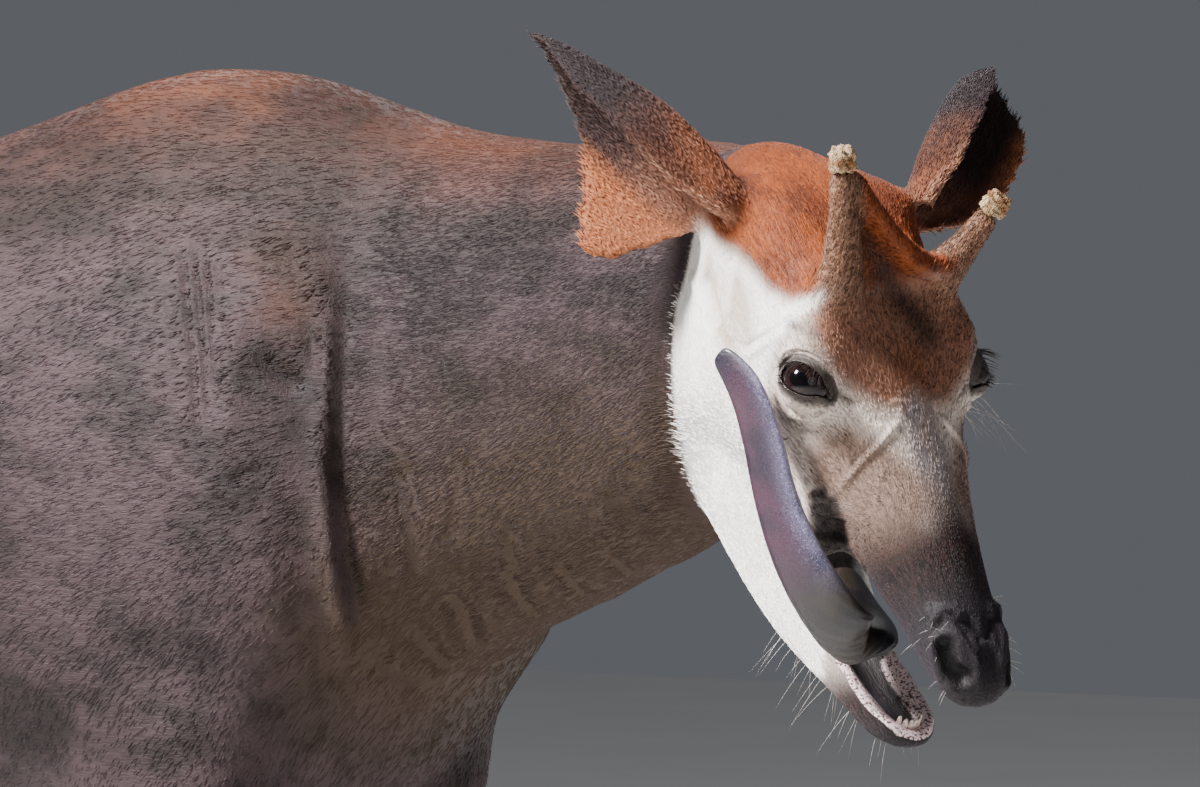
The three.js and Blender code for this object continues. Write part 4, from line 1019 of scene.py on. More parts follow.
class Finish(NodeTree):
    """A procedural material."""

    def __init__(self, name, **fixed):
        self.material = bpy.data.materials.new(name)
        self.material.use_nodes = True
        self.tree = self.material.node_tree
        self.shader = self.tree.nodes["Principled BSDF"]
        for socket, value in fixed.items():
            self.put(self.shader.inputs[socket.replace("_", " ")], value)

    def math(self, operation, a, b=None, c=None, clamp=False):
        return self.node("ShaderNodeMath", (0, a), (1, b), (2, c), operation=operation, use_clamp=clamp).outputs[0]

    def product(self, a, b, clamp=False):
        return self.math("MULTIPLY", a, b, clamp=clamp)

    def scaled(self, a, factor, added):
        """a times a factor, added to another value."""
        return self.math("MULTIPLY_ADD", a, factor, added)

    def mix(self, share, a, b, blend="MIX"):
        a, b = (srgb(c) if isinstance(c, tuple) and len(c) == 3 else c for c in (a, b))
        return self.node("ShaderNodeMix", (0, share), (6, a), (7, b), data_type="RGBA", blend_type=blend).outputs[2]

    def two(self, pattern, low, high, first, second):
        """Two colours that change over as a pattern goes from low to high."""
        return self.mix(self.ramp(pattern, low, high), first, second)

    def attribute(self, name, output="Fac"):
        return self.node("ShaderNodeAttribute", attribute_name=name).outputs[output]

    def object_place(self):
        return self.node("ShaderNodeTexCoord").outputs["Object"]

    def noise(self, vector, scale, detail=2.0, roughness=0.5):
        """Noise of one scale, or stretched where the scale has three parts."""
        if isinstance(scale, tuple):
            vector = self.node("ShaderNodeMapping", ("Vector", vector), ("Scale", scale)).outputs[0]
            scale = 1.0
        return self.node("ShaderNodeTexNoise", ("Vector", vector), ("Scale", scale), ("Detail", detail),
                         ("Roughness", roughness)).outputs["Fac"]

    def ramp(self, value, low, high, to_low=0.0, to_high=1.0):
        return self.node("ShaderNodeMapRange", *enumerate((value, low, high, to_low, to_high)),
                         interpolation_type="SMOOTHSTEP").outputs[0]

    def shaded(self, color, shade):
        tone = self.node("ShaderNodeCombineColor", *((k, shade) for k in range(3)))
        return self.mix(1.0, color, tone.outputs[0], "MULTIPLY")

    def bump(self, height, strength, distance, normal=None):
        return self.node("ShaderNodeBump", ("Strength", strength), ("Distance", distance), ("Height", height),
                         ("Normal", normal)).outputs[0]

    def done(self, color, roughness=None, normal=None):
        for socket, value in (("Base Color", color), ("Roughness", roughness), ("Normal", normal)):
            self.put(self.shader.inputs[socket], value)
        return self.material


CHOCOLATE = (24, 14, 11)
PLUM = (60, 45, 47)
CHESTNUT, LIGHT_CHESTNUT = (50, 26, 16), (84, 45, 26)
UMBER = (46, 30, 26)
BLACK_BROWN = (24, 17, 17)
AMBER, LIGHT_AMBER = (132, 66, 32), (160, 98, 60)
CREAM = (226, 212, 190)
WHITE, WARM_WHITE = (250, 247, 243), (240, 236, 231)
TAN = (216, 200, 188)
ASH = (166, 150, 142)
# the slate-violet of painted shade, as the bridge's shaded side looks in sky light
SLATE_SHADE = (74, 66, 78)
SOOT = (20, 15, 18)
# OLIVE: the tint of painted light on the throat's underside
OLIVE = (62, 46, 30)
PINK, GUM_SPOT = (236, 210, 208), (96, 72, 80)
# layers of the face's coat: the mark, the softness and raggedness of its edge, how far inside it lies, its
# strength, the pattern that mixes its two colours and from where to where, and the colours
FACE_LAYERS = (
    # the bridge's dark band is the face's own; its slate-violet patches are painted shade
    ("bridge", 10.0, 0.6, 0.0, 0.75, "cloud", 0.4, 0.6, (86, 64, 58), SLATE_SHADE),
    ("brow", 12.0, 1.2, 0.0, 0.92, "hair", 0.2, 0.75, (92, 50, 30), (128, 76, 46)),
    ("whorl", 12.0, 1.3, 0.0, 0.85, "hair", 0.2, 0.75, (70, 44, 32), (116, 84, 66)),
    ("muzzle", 32.0, 2.2, 2.0, 1.0, "hair", 0.35, 0.65, (14, 7, 7), (48, 30, 27)),
    ("muzzle", 30.0, 0.6, 62.0, 1.0, "fine", 0.4, 0.7, SOOT, (38, 32, 38)),
    ("white", 6.0, 0.8, 0.0, 1.0, "cloud", 0.35, 0.6, WARM_WHITE, WHITE),
    ("crown", 9.0, 1.3, 0.0, 1.0, "mane", 0.38, 0.62, (90, 38, 10), (138, 66, 22)),
)


def coat_finish(name):
    m = Finish(name, Sheen_Weight=0.06, Sheen_Roughness=0.3, Sheen_Tint=srgb((205, 190, 210)),
               Specular_IOR_Level=0.24)
    root, lay = m.attribute("root", "Vector"), m.attribute("lay", "Vector")
    broad = m.noise(root, 6.0, 3.0, 0.55)
    cloud = m.noise(lay, (14, 30, 30), 3.0, 0.6)
    hair = m.noise(lay, (70, 460, 460), 3.0, 0.62)
    fine = m.noise(lay, (260, 1700, 1700), 2.0, 0.6)
    mane = m.scaled(hair, 0.4, m.product(cloud, 0.6))
    patterns = {"cloud": cloud, "hair": hair, "fine": fine, "mane": mane}
    ragged = m.product(m.math("SUBTRACT", hair, 0.5), 18.0)

    def edge(mark, soft, noise, low=0.0):
        return m.ramp(m.scaled(ragged, noise, m.attribute(mark)), low - soft, low + soft)

    def share(mark, strength):
        return m.product(m.attribute(mark), strength, clamp=True)

    color = m.two(m.scaled(cloud, 0.5, m.product(broad, 0.5)), 0.38, 0.6, CHOCOLATE, PLUM)
    # the crest's chestnut: partly the coat's own reddish top, partly painted top light on the upward-facing back
    color = m.mix(share("crest", m.ramp(cloud, 0.3, 0.65, 0.55, 1.0)), color,
                  m.two(broad, 0.4, 0.6, CHESTNUT, LIGHT_CHESTNUT))
    # painted light: the olive tint on the neck's downward-facing underside
    color = m.mix(share("under", 0.8), color, OLIVE)
    # painted shade: the shoulder's hollow darkened towards black-brown
    color = m.mix(share("deep", 0.8), color, BLACK_BROWN)
    wave = m.math("SUBTRACT", m.math("FRACT", m.scaled(broad, 0.5, m.attribute("phase"))), 0.5)
    stripe = m.math("SUBTRACT", m.attribute("stripe"), m.product(m.math("ABSOLUTE", wave), STRIPE_PITCH))
    color = m.mix(m.ramp(m.scaled(ragged, 0.2, stripe), -2.0, 2.0), color, CREAM)
    color = m.mix(edge("cream", 6.0, 1.2), color, CREAM)
    color = m.mix(edge("bands", 5.0, 0.8), color, UMBER)

    face = m.two(hair, 0.3, 0.62, ASH, TAN)
    for mark, soft, noise, low, strength, pattern, start, end, first, second in FACE_LAYERS:
        layer = m.two(patterns[pattern], start, end, first, second)
        face = m.mix(m.product(edge(mark, soft, noise, low), strength), face, layer)
    face = m.mix(m.product(edge("temple", 10.0, 1.0), m.ramp(cloud, 0.36, 0.6, 0.2, 0.75)), face, (176, 148, 124))
    face = m.mix(share("stem", 0.9), face, m.two(hair, 0.35, 0.65, (88, 58, 44), (140, 106, 84)))
    color = m.mix(edge("face", 3.0, 0.35), color, face)
    color = m.mix(share("dark", 0.93), color, BLACK_BROWN)
    # painted shade: the nostril holes near black
    color = m.mix(share("pit", 1.0), color, (5, 4, 5))

    ear = m.attribute("ear")
    outer = m.mix(m.ramp(ear, 0.1, 0.62), m.two(cloud, 0.4, 0.6, (78, 40, 22), (112, 62, 36)), (34, 22, 22))
    # the cup darkens towards the tip: painted shade inside the ear's cup
    cup = m.mix(m.ramp(ear, 0.02, 0.5), m.two(hair, 0.35, 0.6, (128, 70, 48), (156, 112, 88)), (48, 28, 23))
    fur = m.mix(m.attribute("inner"), outer, cup)
    rim = m.product(m.ramp(m.attribute("brim"), 20.0, 42.0), m.ramp(ear, 0.95, 0.7))
    fur = m.mix(rim, fur, m.two(hair, 0.35, 0.6, AMBER, LIGHT_AMBER))
    color = m.mix(m.attribute("earness"), color, fur)

    # the mouth's inside near black: partly its dark lining, partly painted shade in enclosed places
    color = m.mix(share("mouth", 0.96), color, (20, 12, 15))
    color = m.mix(m.ramp(m.scaled(ragged, 0.4, m.attribute("gum")), -2.0, 2.0), color,
                  m.two(m.noise(root, 420, 3.0), 0.5, 0.6, PINK, GUM_SPOT))
    # rise lightens each tuft towards its tip, so that its root is darker: painted shade at the roots
    shade = m.scaled(m.math("SUBTRACT", hair, 0.5), 0.75, 1.0)
    for value, strength in ((m.math("SUBTRACT", fine, 0.5), 0.7), (m.attribute("rise"), 0.06),
                            (m.attribute("tone"), 0.16)):
        shade = m.scaled(value, strength, shade)
    rough = m.mix(m.attribute("wet"), m.ramp(hair, 0.2, 0.8, 0.68, 0.48), (0.22, 0.22, 0.22, 1))
    normal = m.bump(fine, 0.5, 0.0012, m.bump(hair, 0.5, 0.003, m.bump(cloud, 0.3, 0.004)))
    return m.done(m.shaded(color, shade), rough, normal)


def horn_finish():
    m = Finish("dark horn", Specular_IOR_Level=0.5)
    place = m.object_place()
    rings = m.noise(place, (6, 6, 260))
    grain = m.noise(place, (700, 700, 60), 3.0)
    color = m.two(rings, 0.3, 0.7, (38, 33, 32), (70, 60, 54))
    color = m.mix(m.ramp(grain, 0.45, 0.8, 0.0, 0.5), color, (96, 84, 74))
    return m.done(color, m.ramp(grain, 0.3, 0.7, 0.32, 0.55), m.bump(rings, 0.5, 0.002, m.bump(grain, 0.3, 0.0006)))


def bone_finish():
    m = Finish("worn bone", Specular_IOR_Level=0.35)
    place = m.object_place()
    pits = m.noise(place, 420, 4.0, 0.65)
    color = m.two(m.noise(place, 90, 3.0), 0.4, 0.65, (208, 180, 138), (150, 98, 58))
    color = m.mix(m.ramp(pits, 0.52, 0.68), color, (84, 50, 34))
    return m.done(color, m.ramp(pits, 0.3, 0.7, 0.5, 0.8), m.bump(pits, 1.0, 0.004))


def tongue_finish():
    m = Finish("tongue skin", Specular_IOR_Level=0.35, Coat_Weight=0.25, Coat_Roughness=0.16,
               Subsurface_Weight=0.04)
    place = m.object_place()
    along = m.attribute("along")
    broad = m.noise(place, 26, 3.0)
    spots = m.noise(place, 520, 3.0, 0.6)
    buds = m.noise(place, 1600, 2.0, 0.6)
    grains = m.noise(place, 760)
    streaks = m.noise(m.attribute("course", "Vector"), (14, 420, 420), 3.0, 0.6)
    color = m.two(broad, 0.38, 0.62, (76, 73, 100), (110, 102, 130))
    # under: painted shade on the side turned from the light; throat: painted shade on the loop near the mouth
    under = m.two(broad, 0.4, 0.62, (66, 38, 54), (40, 28, 42))
    throat = m.two(broad, 0.42, 0.6, (20, 16, 19), (40, 33, 25))
    pale_buds = m.product(m.ramp(buds, 0.55, 0.75, 0.0, 0.35), m.ramp(along, 0.38, 0.6, 0.3, 1.0))
    for share, layer in (
            (m.ramp(streaks, 0.5, 0.72, 0.0, 0.7), (132, 124, 148)),
            (m.ramp(grains, 0.54, 0.66, 0.0, 0.6), (176, 172, 194)),
            (m.attribute("tongue_shade_side"), under),
            (m.product(m.attribute("tongue_lit_edge"), 0.7), (176, 176, 196)),
            (m.ramp(along, 0.6, 0.38), throat),
            (m.ramp(along, 0.88, 1.0), (34, 30, 42)),
            (m.ramp(spots, 0.56, 0.66, 0.0, 0.55), (28, 23, 34)),
            (pale_buds, (150, 142, 164))):
        color = m.mix(share, color, layer)
    return m.done(color, m.ramp(buds, 0.3, 0.7, 0.28, 0.46), m.bump(buds, 0.5, 0.0008, m.bump(spots, 0.35, 0.0016)))


def tooth_finish():
    m = Finish("gum and teeth", Specular_IOR_Level=0.5, Coat_Weight=0.3, Coat_Roughness=0.2)
    grain = m.noise(m.object_place(), 300, 3.0)
    color = m.two(grain, 0.4, 0.6, (226, 208, 198), (178, 146, 138))
    return m.done(color, m.ramp(grain, 0.3, 0.7, 0.3, 0.5), m.bump(grain, 0.4, 0.001))


def hair_finish(name, dark, light):
    m = Finish(name, Specular_IOR_Level=0.45)
    strand = m.noise(m.object_place(), (900, 900, 90), 3.0)
    return m.done(m.two(strand, 0.3, 0.7, dark, light), m.ramp(strand, 0.3, 0.7, 0.35, 0.6),
                  m.bump(strand, 0.6, 0.0015))


def eye_finish():
    m = Finish("wet dark eye", Specular_IOR_Level=0.22, Coat_Weight=0.3, Coat_Roughness=0.02)
    off = m.attribute("off")
    rays = m.noise(m.attribute("disc", "Vector"), (9, 9, 9), 4.0, 0.7)
    color = m.two(rays, 0.35, 0.7, (24, 13, 14), (46, 25, 24))
    for share, layer in ((m.ramp(off, 9.0, 12.5), (26, 15, 14)),
                         (m.ramp(off, 12.6, 14.0), m.two(rays, 0.4, 0.6, (22, 14, 15), (38, 27, 28))),
                         (m.ramp(m.attribute("pupil"), -0.5, 0.5), (7, 6, 8))):
        color = m.mix(share, color, layer)
    return m.done(color, m.ramp(rays, 0.3, 0.7, 0.06, 0.1), m.bump(rays, 0.05, 0.0003))


# Pieces
def make_piece(name, mesh):
    mesh.polygons.foreach_set("use_smooth", [True] * len(mesh.polygons))
    mesh.update()
    return linked(name, mesh)


def mesh_piece(name, points, faces):
    mesh = bpy.data.meshes.new(name)
    mesh.from_pydata(to_row(points).tolist(), [], faces.tolist())
    return make_piece(name, mesh)


def settle(piece, material, slot, *replaced):
    piece.data.materials.clear()
    piece.data.materials.append(material)
    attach(piece, "root")
    if replaced:
        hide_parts(*replaced)


def rounded_copy(name, new_name, levels):
    """A CAD solid's merged copy, subdivided into its rounded real form."""
    source = linked(new_name, as_mesh(node_mesh([name]), new_name))
    modifier = source.modifiers.new("Rounding", "SUBSURF")
    modifier.levels = modifier.render_levels = levels
    mesh, old = evaluated(source), source.data
    bpy.data.objects.remove(source)
    bpy.data.meshes.remove(old)
    mesh.vertices.foreach_set("co", to_row(positions(mesh.vertices)).ravel())
    return make_piece(new_name, mesh)


BALL_RINGS, BALL_COLUMNS = 40, 56
BALL_GAP = 0.15               # between the ball and its nominal size
CORNEA = 0.5                  # how far the clear front stands out
BEHIND = 40                   # keeps the iris off the back of the ball
PUPIL = (9.4, 6.4)            # half its width and height


def eyeball(side, name):
    """The ball, with its rings about the line of sight, and a clear bulge over the iris."""
    eye = EyeFrame(side)
    polar = np.linspace(0, math.pi, BALL_RINGS + 1)[1:-1]
    around = np.linspace(0, FULL_TURN, BALL_COLUMNS, endpoint=False)
    p, a = np.meshgrid(polar, around, indexing="ij")
    radius = EYE_RADIUS - BALL_GAP + CORNEA * bell(p, 0.5)
    grid = np.stack([radius * np.sin(p) * np.cos(a), radius * np.sin(p) * np.sin(a), radius * np.cos(p)], axis=-1)
    front, back = EYE_RADIUS - BALL_GAP + CORNEA, BALL_GAP - EYE_RADIUS
    points = np.concatenate([[[0, 0, front]], grid.reshape(-1, 3), [[0, 0, back]]])
    index = 1 + np.arange(p.size).reshape(p.shape)
    after = np.roll(index, -1, axis=1)
    faces = np.concatenate([
        rows(index[:-1], index[1:], after[1:]), rows(index[:-1], after[1:], after[:-1]),
        rows(0 * index[0], index[0], after[0]), rows(0 * index[0] + len(points) - 1, after[-1], index[-1])])
    if np.linalg.det(eye.axes) < 0:
        faces = faces[:, ::-1]
    piece = mesh_piece(name, eye.back(points), faces)
    x, y, z = points.T
    pupil = np.where(z > 0, 1.0 - np.hypot(x / PUPIL[0], y / PUPIL[1]), -1)
    hold(piece.data, {"off": np.hypot(x, y) + BEHIND * (z < 0), "pupil": 6 * pupil}, {"disc": points / 30})
    return piece


# waves of an ossicone's bare end: direction and closeness, start, height
TIP_WAVES = (((0.9, 0.4, 0.7), 0.3, 0.7), ((-0.6, 1.1, 0.5), 1.9, 0.7), ((1.7, -1.3, 1.1), 4.1, 0.5),
             ((2.6, 2.1, -1.7), 2.2, 0.4))


def rough_tip(name, new_name):
    """The bare end of an ossicone, broken up into ragged lumps."""
    piece = rounded_copy(name, new_name, 3)
    points = places(piece.data)
    wobble = sum(np.sin(points @ np.array(wave) + start) * height for wave, start, height in TIP_WAVES)
    points += unit(points - points.mean(axis=0)) * wobble[:, None]
    piece.data.vertices.foreach_set("co", to_row(points).ravel())
    piece.data.update()
    return piece


# the tongue's middle, from its root to its tip, in the head frame
TONGUE_PATH = [(322, -1, -106), (362, -4, -104), (392, -13, -96), (408, -36, -83), (399, -62, -68),
               (358, -83, -53), (306, -95, -33), (256, -105, 0), (222, -115, 19), (186, -122, 18)]
TONGUE_LIGHT_SIDE = np.array([0.82, 0.57, 0.1])           # the side of the tongue turned this way is painted pale as a painted highlight, the side turned away painted as shade
TONGUE_ACROSS = np.array([[0.5, 0.3], [-0.2, 0.9], [0.8, -0.2]])


def tongue_piece():
    piece = rounded_copy("tongue", "curled_tongue", 2)
    local = to_head(places(piece.data))
    along = near_path(local, TONGUE_PATH)[1]
    # the shaded side and the pale edge are painted shade and a painted highlight, set by the way each part faces
    facing = np.array([v.normal for v in piece.data.vertices]) @ TONGUE_LIGHT_SIDE
    hold(piece.data, {"along": along, "tongue_shade_side": ramp(-facing, 0.05, 0.7), "tongue_lit_edge": ramp(facing, 0.45, 0.85)},
         {"course": np.column_stack([along, local @ TONGUE_ACROSS / 1000])})
    return piece


COAT = coat_finish("okapi coat")
HORN, BONE, TONGUE, TOOTH, WET = horn_finish(), bone_finish(), tongue_finish(), tooth_finish(), eye_finish()
HAIR = hair_finish("long dark hair", (20, 15, 15), (58, 42, 36))
PALE_HAIR = hair_finish("pale whisker", (150, 140, 130), (226, 218, 208))
skin = mesh_piece("skin", skin_form.points, skin_form.faces)
hold(skin.data, MARKS, {"lay": LAY, "root": ROOTS})
settle(skin, COAT, "coat", *NODES)
for foot in ("fore", "hind"):
    for side in SIDES:
        for claw in ("inner", "outer"):
            name = f"{foot}_{side}_{claw}"
            settle(rounded_copy(f"hoof_{name}", f"claw_{name}", 1), HORN, "hoof", f"hoof_{name}")
for side, sign in SIDES.items():
    settle(rough_tip(f"ossicone_tip_{side}", f"bone_tip_{side}"), BONE, "bone", f"ossicone_tip_{side}")
    settle(eyeball(sign, f"eyeball_{side}"), WET, "eye", f"eye_{side}")
settle(tongue_piece(), TONGUE, "tongue", "tongue")
settle(rounded_copy("lower_teeth", "teeth", 1), TOOTH, "tooth", "lower_teeth")
settle(rounded_copy("tail_tuft", "tail_hair", 1), HAIR, "hair", "tail_tuft")

# Fur: thin closed tufts rooted on the skin that lie along the coat
TUFT_PATCH = 0.003            # a tuft's share of the unwrap
COAT_SEED = 41
HAIR_SEED = 17
PIECE_TUFTS = 32000
# region: (nodes, tufts, length, width, lift in degrees)
REGIONS = {
    "torso": (("torso",), 84000, 11.0, 1.15, 3.5),
    "neck": (("neck",), 46000, 10.0, 1.1, 3.5),
    "head": (("head", "lower_jaw"), 62000, 5.6, 0.75, 6.5),
    "ears": ((*EARS, "ossicone_right", "ossicone_left"), 20000, 6.0, 0.8, 11),
    "legs": ((*LEGS, "tail"), 34000, 9.0, 1.2, 5),
}
WHORL_MIDDLE = np.array([364.0, 45.0, 6.0])
WHORL_REACH = 34
TUFT_DEPTH = 0.25             # how deep a tuft is rooted
SWING = 0.13                  # how far tufts turn from the flow, in radians
UNWRAP_GRID = 4               # squares across the unwrap, one for each node
UNWRAP_EDGE, UNWRAP_SIZE = 0.01, 0.226


def unroller(skin):
    """Unrolls each part of the skin about its own long axis into its own square of the unit square."""
    frames = []
    for k in range(len(NODES)):
        mine = skin.points[skin.owner == k]
        middle = mine.mean(axis=0)
        axes = np.linalg.svd(mine[::5] - middle, full_matrices=False)[2]
        along = (mine - middle) @ axes[0]
        frames.append((middle, axes, along.min(), np.ptp(along)))

    def unrolled(points, owner):
        out = np.zeros((len(points), 3))
        for k, (middle, axes, start, span) in enumerate(frames):
            mine = owner == k
            along, a, b = ((points[mine] - middle) @ axes.T).T
            corner = np.array([k % UNWRAP_GRID, k // UNWRAP_GRID]) / UNWRAP_GRID + UNWRAP_EDGE
            place = np.stack([np.arctan2(b, a) / FULL_TURN + 0.5, np.clip((along - start) / span, 0, 1)], axis=1)
            out[mine, :2] = corner + UNWRAP_SIZE * place
        return out

    return unrolled


def flattened(flow, normals):
    """Directions laid down onto the surface."""
    return unit(flow - (flow * normals).sum(axis=1, keepdims=True) * normals)


def coat_flow(skin):
    """The way the hair points at each skin point, along the surface."""
    x, _, z = skin.points.T
    count = len(x)
    side = np.sign(skin.local[:, 1])
    # backwards and a little down in slow waves, and steeper towards the belly
    body = np.tile([-1.0, 0, -0.34], (count, 1))
    body[:, 1] += 0.10 * np.sin(x / 70 + z / 110)
    body[:, 2] += 0.16 * np.sin(x / 120 - z / 60) - 0.5 * ramp(1180 - z, 0, 260)
    legs = on_legs(skin, *TUFT_TURN)
    flow = body * (1 - legs) + np.array([-0.12, 0, -1.0]) * legs
    face = np.column_stack([np.full(count, -1.0), 0.2 * side, np.full(count, 0.12)])
    from_whorl = skin.paired - WHORL_MIDDLE
    swirl = unit(np.cross(skin.facing, from_whorl * np.column_stack([np.ones(count), side, np.ones(count)])))
    share = 0.9 * bell(np.linalg.norm(from_whorl, axis=1), WHORL_REACH)[:, None]
    stems = skin.blurred("ossicone_right", "ossicone_left", times=2)[:, None]
    for part, heading in ((share, swirl), (stems, np.array([-0.3, 0, 1.0]))):
        face = face * (1 - part) + heading * part
    for name, (root, tip, _) in EAR_LINES.items():
        face = np.where(skin.owned(name)[:, None], unit(np.array(tip, float) - root), face)
    head = np.maximum(ramp(MARKS["face"], -30, 30), MARKS["earness"])[:, None]
    flow = unit(flow) * (1 - head) + (unit(face) @ HEAD_AXES.T) * head
    return flattened(skin.averaged(flow, 4), skin.normals)


def tuft_size(skin):
    """How long the tufts are at each point, against the region's own length, and where none grow."""
    lid = skin.held["lid"]
    face = ramp(MARKS["face"], -20, 20)
    # shorter towards the muzzle, round the eyes, above the claws and on the white cheek, longer in the ears
    size = 1 - 0.45 * face * ramp(MARKS["muzzle"], -60, 30)
    size *= 1 - 0.35 * face * ramp(MARKS["muzzle"], 40, 90)
    size *= 0.4 + 0.6 * ramp(lid, 4, 26)
    size *= 1 - 0.5 * ramp(130 - skin.points[:, 2], 0, 90)
    size *= 1 - 0.45 * ramp(MARKS["white"], -6, 6) * ramp(190 - skin.local[:, 0], 0, 60)
    size *= 1 + 0.5 * MARKS["earness"] * MARKS["inner"]
    bare = (MARKS["mouth"] > 0.3) | (MARKS["gum"] > -4) | (lid < 3.5) | (MARKS["wet"] > 0.35)
    return np.where(bare, 0.0, size)


def sown(skin, region, rng, fields):
    """Roots spread over a region's triangles, with every held number worked out at each root."""
    names, count, length, width, lift = REGIONS[region]
    mine = skin.faces[skin.owned(*names)[skin.faces].sum(axis=1) >= 2]
    size = fields["size"][mine]
    corners = skin.points[mine]
    area = np.linalg.norm(np.cross(corners[:, 1] - corners[:, 0], corners[:, 2] - corners[:, 0]), axis=1)
    weight = area * np.where(size.min(axis=1) > 0, 1 / np.maximum(size.mean(axis=1), 0.3) ** 1.6, 0)
    picked = rng.choice(len(mine), count, p=weight / weight.sum())
    picked.sort()
    a, b = rng.random((2, count))
    past = a + b > 1
    a[past], b[past] = 1 - a[past], 1 - b[past]
    share = np.stack([1 - a - b, a, b], axis=1)

    def at(values):
        return np.einsum("ij,ij...->i...", share, np.asarray(values, float)[mine[picked]])

    roots = {name: at(values) for name, values in MARKS.items()}
    point, normal = at(skin.points), unit(at(skin.normals))
    swing = rng.normal(0, SWING, count)[:, None]
    flow = flattened(at(fields["flow"]), normal)
    flow = flow * np.cos(swing) + np.cross(normal, flow) * np.sin(swing)
    rise = np.radians(lift * rng.uniform(0.5, 1.5, count))[:, None]
    along = flow * np.cos(rise) + normal * np.sin(rise)
    roots["tone"] = rng.uniform(-0.5, 0.5, count)
    here = at(fields["size"])
    long = length * here * rng.uniform(0.7, 1.3, count)
    wide = width * (0.55 + 0.45 * here) * rng.uniform(0.75, 1.3, count)
    vectors = {"lay": at(LAY), "root": at(ROOTS), "along": along, "across": np.cross(normal, along),
               "size": np.stack([wide, wide, long], axis=1) / 1000,
               "spot": fields["unrolled"](point, skin.owner[mine[picked, 0]])}
    return to_row(point - TUFT_DEPTH * normal), roots, vectors


def tuft_shape():
    """One tuft along +Z, one unit long and one wide: a thin closed spindle with a ridge along its back."""
    points = [(0, -0.2, -0.04), (-0.5, 0, 0.36), (0.5, 0, 0.36), (0, 0.42, 0.32), (0, 0.2, 1)]
    faces = [(0, 1, 3), (0, 3, 2), (0, 2, 1), (4, 3, 1), (4, 2, 3), (4, 1, 2)]
    mesh = bpy.data.meshes.new("tuft")
    mesh.from_pydata(points, [], faces)
    mesh.polygons.foreach_set("use_smooth", [True] * len(faces))
    # rise: height in the tuft, which the coat uses to darken the roots as painted shade
    hold(mesh, {"rise": [p[2] for p in points]}, {"within": [(p[0], p[2] - 0.5, 0) for p in points]})
    return bpy.data.objects.new("tuft", mesh)


class Growth(NodeTree):
    """A Geometry Nodes tree that grows things on a mesh, and dresses them in a material."""

    def __init__(self, name, **inputs):
        self.tree = bpy.data.node_groups.new(name, "GeometryNodeTree")
        self.sockets = {}
        for label, kind in {"Geometry": "Geometry", "Material": "Material", **inputs}.items():
            self.sockets[label] = self.tree.interface.new_socket(
                name=label, in_out="INPUT", socket_type="NodeSocket" + kind)
        self.tree.interface.new_socket(name="Geometry", in_out="OUTPUT", socket_type="NodeSocketGeometry")
        self.start = self.node("NodeGroupInput").outputs

    def read(self, name, kind="FLOAT_VECTOR"):
        return self.node("GeometryNodeInputNamedAttribute", ("Name", name), data_type=kind).outputs["Attribute"]

    def realized(self, geometry):
        return self.node("GeometryNodeRealizeInstances", (0, geometry)).outputs[0]

    def finish(self, geometry):
        dressed = self.node("GeometryNodeSetMaterial", (0, geometry), ("Material", self.start["Material"]))
        self.node("NodeGroupOutput", (0, dressed.outputs[0]))
        return self

    def grown(self, name, source, *spares, **values):
        """What the tree makes of a source mesh, as a piece of its own without the spare attributes."""
        piece = linked(name, source)
        modifier = piece.modifiers.new("Growth", "NODES")
        modifier.node_group = self.tree
        for label, value in values.items():
            modifier[self.sockets[label].identifier] = value
        mesh = evaluated(piece)
        piece.modifiers.clear()
        piece.data = mesh
        bpy.data.meshes.remove(source)
        for spare in spares:
            mesh.attributes.remove(mesh.attributes[spare])
        return piece


def tuft_nodes():
    g = Growth("tufts on roots", Tuft="Object", Patch="Float")
    tuft = g.node("GeometryNodeObjectInfo", ("Object", g.start["Tuft"]))
    turn = g.node("FunctionNodeAxesToRotation", ("Primary Axis", g.read("along")),
                  ("Secondary Axis", g.read("across")), primary_axis="Z", secondary_axis="X")
    points = g.node("GeometryNodeMeshToPoints", ("Mesh", g.start["Geometry"]))
    placed = g.node("GeometryNodeInstanceOnPoints", ("Points", points.outputs[0]),
                    ("Instance", tuft.outputs["Geometry"]), ("Rotation", turn.outputs[0]), ("Scale", g.read("size")))
    patch_place = g.node("ShaderNodeVectorMath", (0, g.read("within")), (3, g.start["Patch"]), operation="SCALE")
    place = g.node("ShaderNodeVectorMath", (0, g.read("spot")), (1, patch_place.outputs[0]), operation="ADD")
    mapped = g.node("GeometryNodeStoreNamedAttribute", (0, g.realized(placed.outputs[0])), ("Name", "OFBake"),
                    ("Value", place.outputs[0]), data_type="FLOAT2", domain="CORNER")
    return g.finish(mapped.outputs[0])


def grow_coat():
    rng = np.random.default_rng(COAT_SEED)
    fields = {"flow": coat_flow(skin_form), "size": tuft_size(skin_form), "unrolled": unroller(skin_form)}
    tree, tuft = tuft_nodes(), tuft_shape()
    for region in REGIONS:
        points, numbers, vectors = sown(skin_form, region, rng, fields)
        pieces = math.ceil(len(points) / PIECE_TUFTS)
        for k in range(pieces):
            part = slice(k * len(points) // pieces, (k + 1) * len(points) // pieces)
            mesh = bpy.data.meshes.new("roots")
            mesh.from_pydata(points[part].tolist(), [], [])
            hold(mesh, {n: v[part] for n, v in numbers.items()}, {n: v[part] for n, v in vectors.items()})
            piece = tree.grown(f"coat_{region}_{k + 1}", mesh, "along", "across", "size", "spot", "within",
                               Tuft=tuft, Material=COAT, Patch=TUFT_PATCH)
            settle(piece, COAT, "coat")
    bpy.data.objects.remove(tuft)


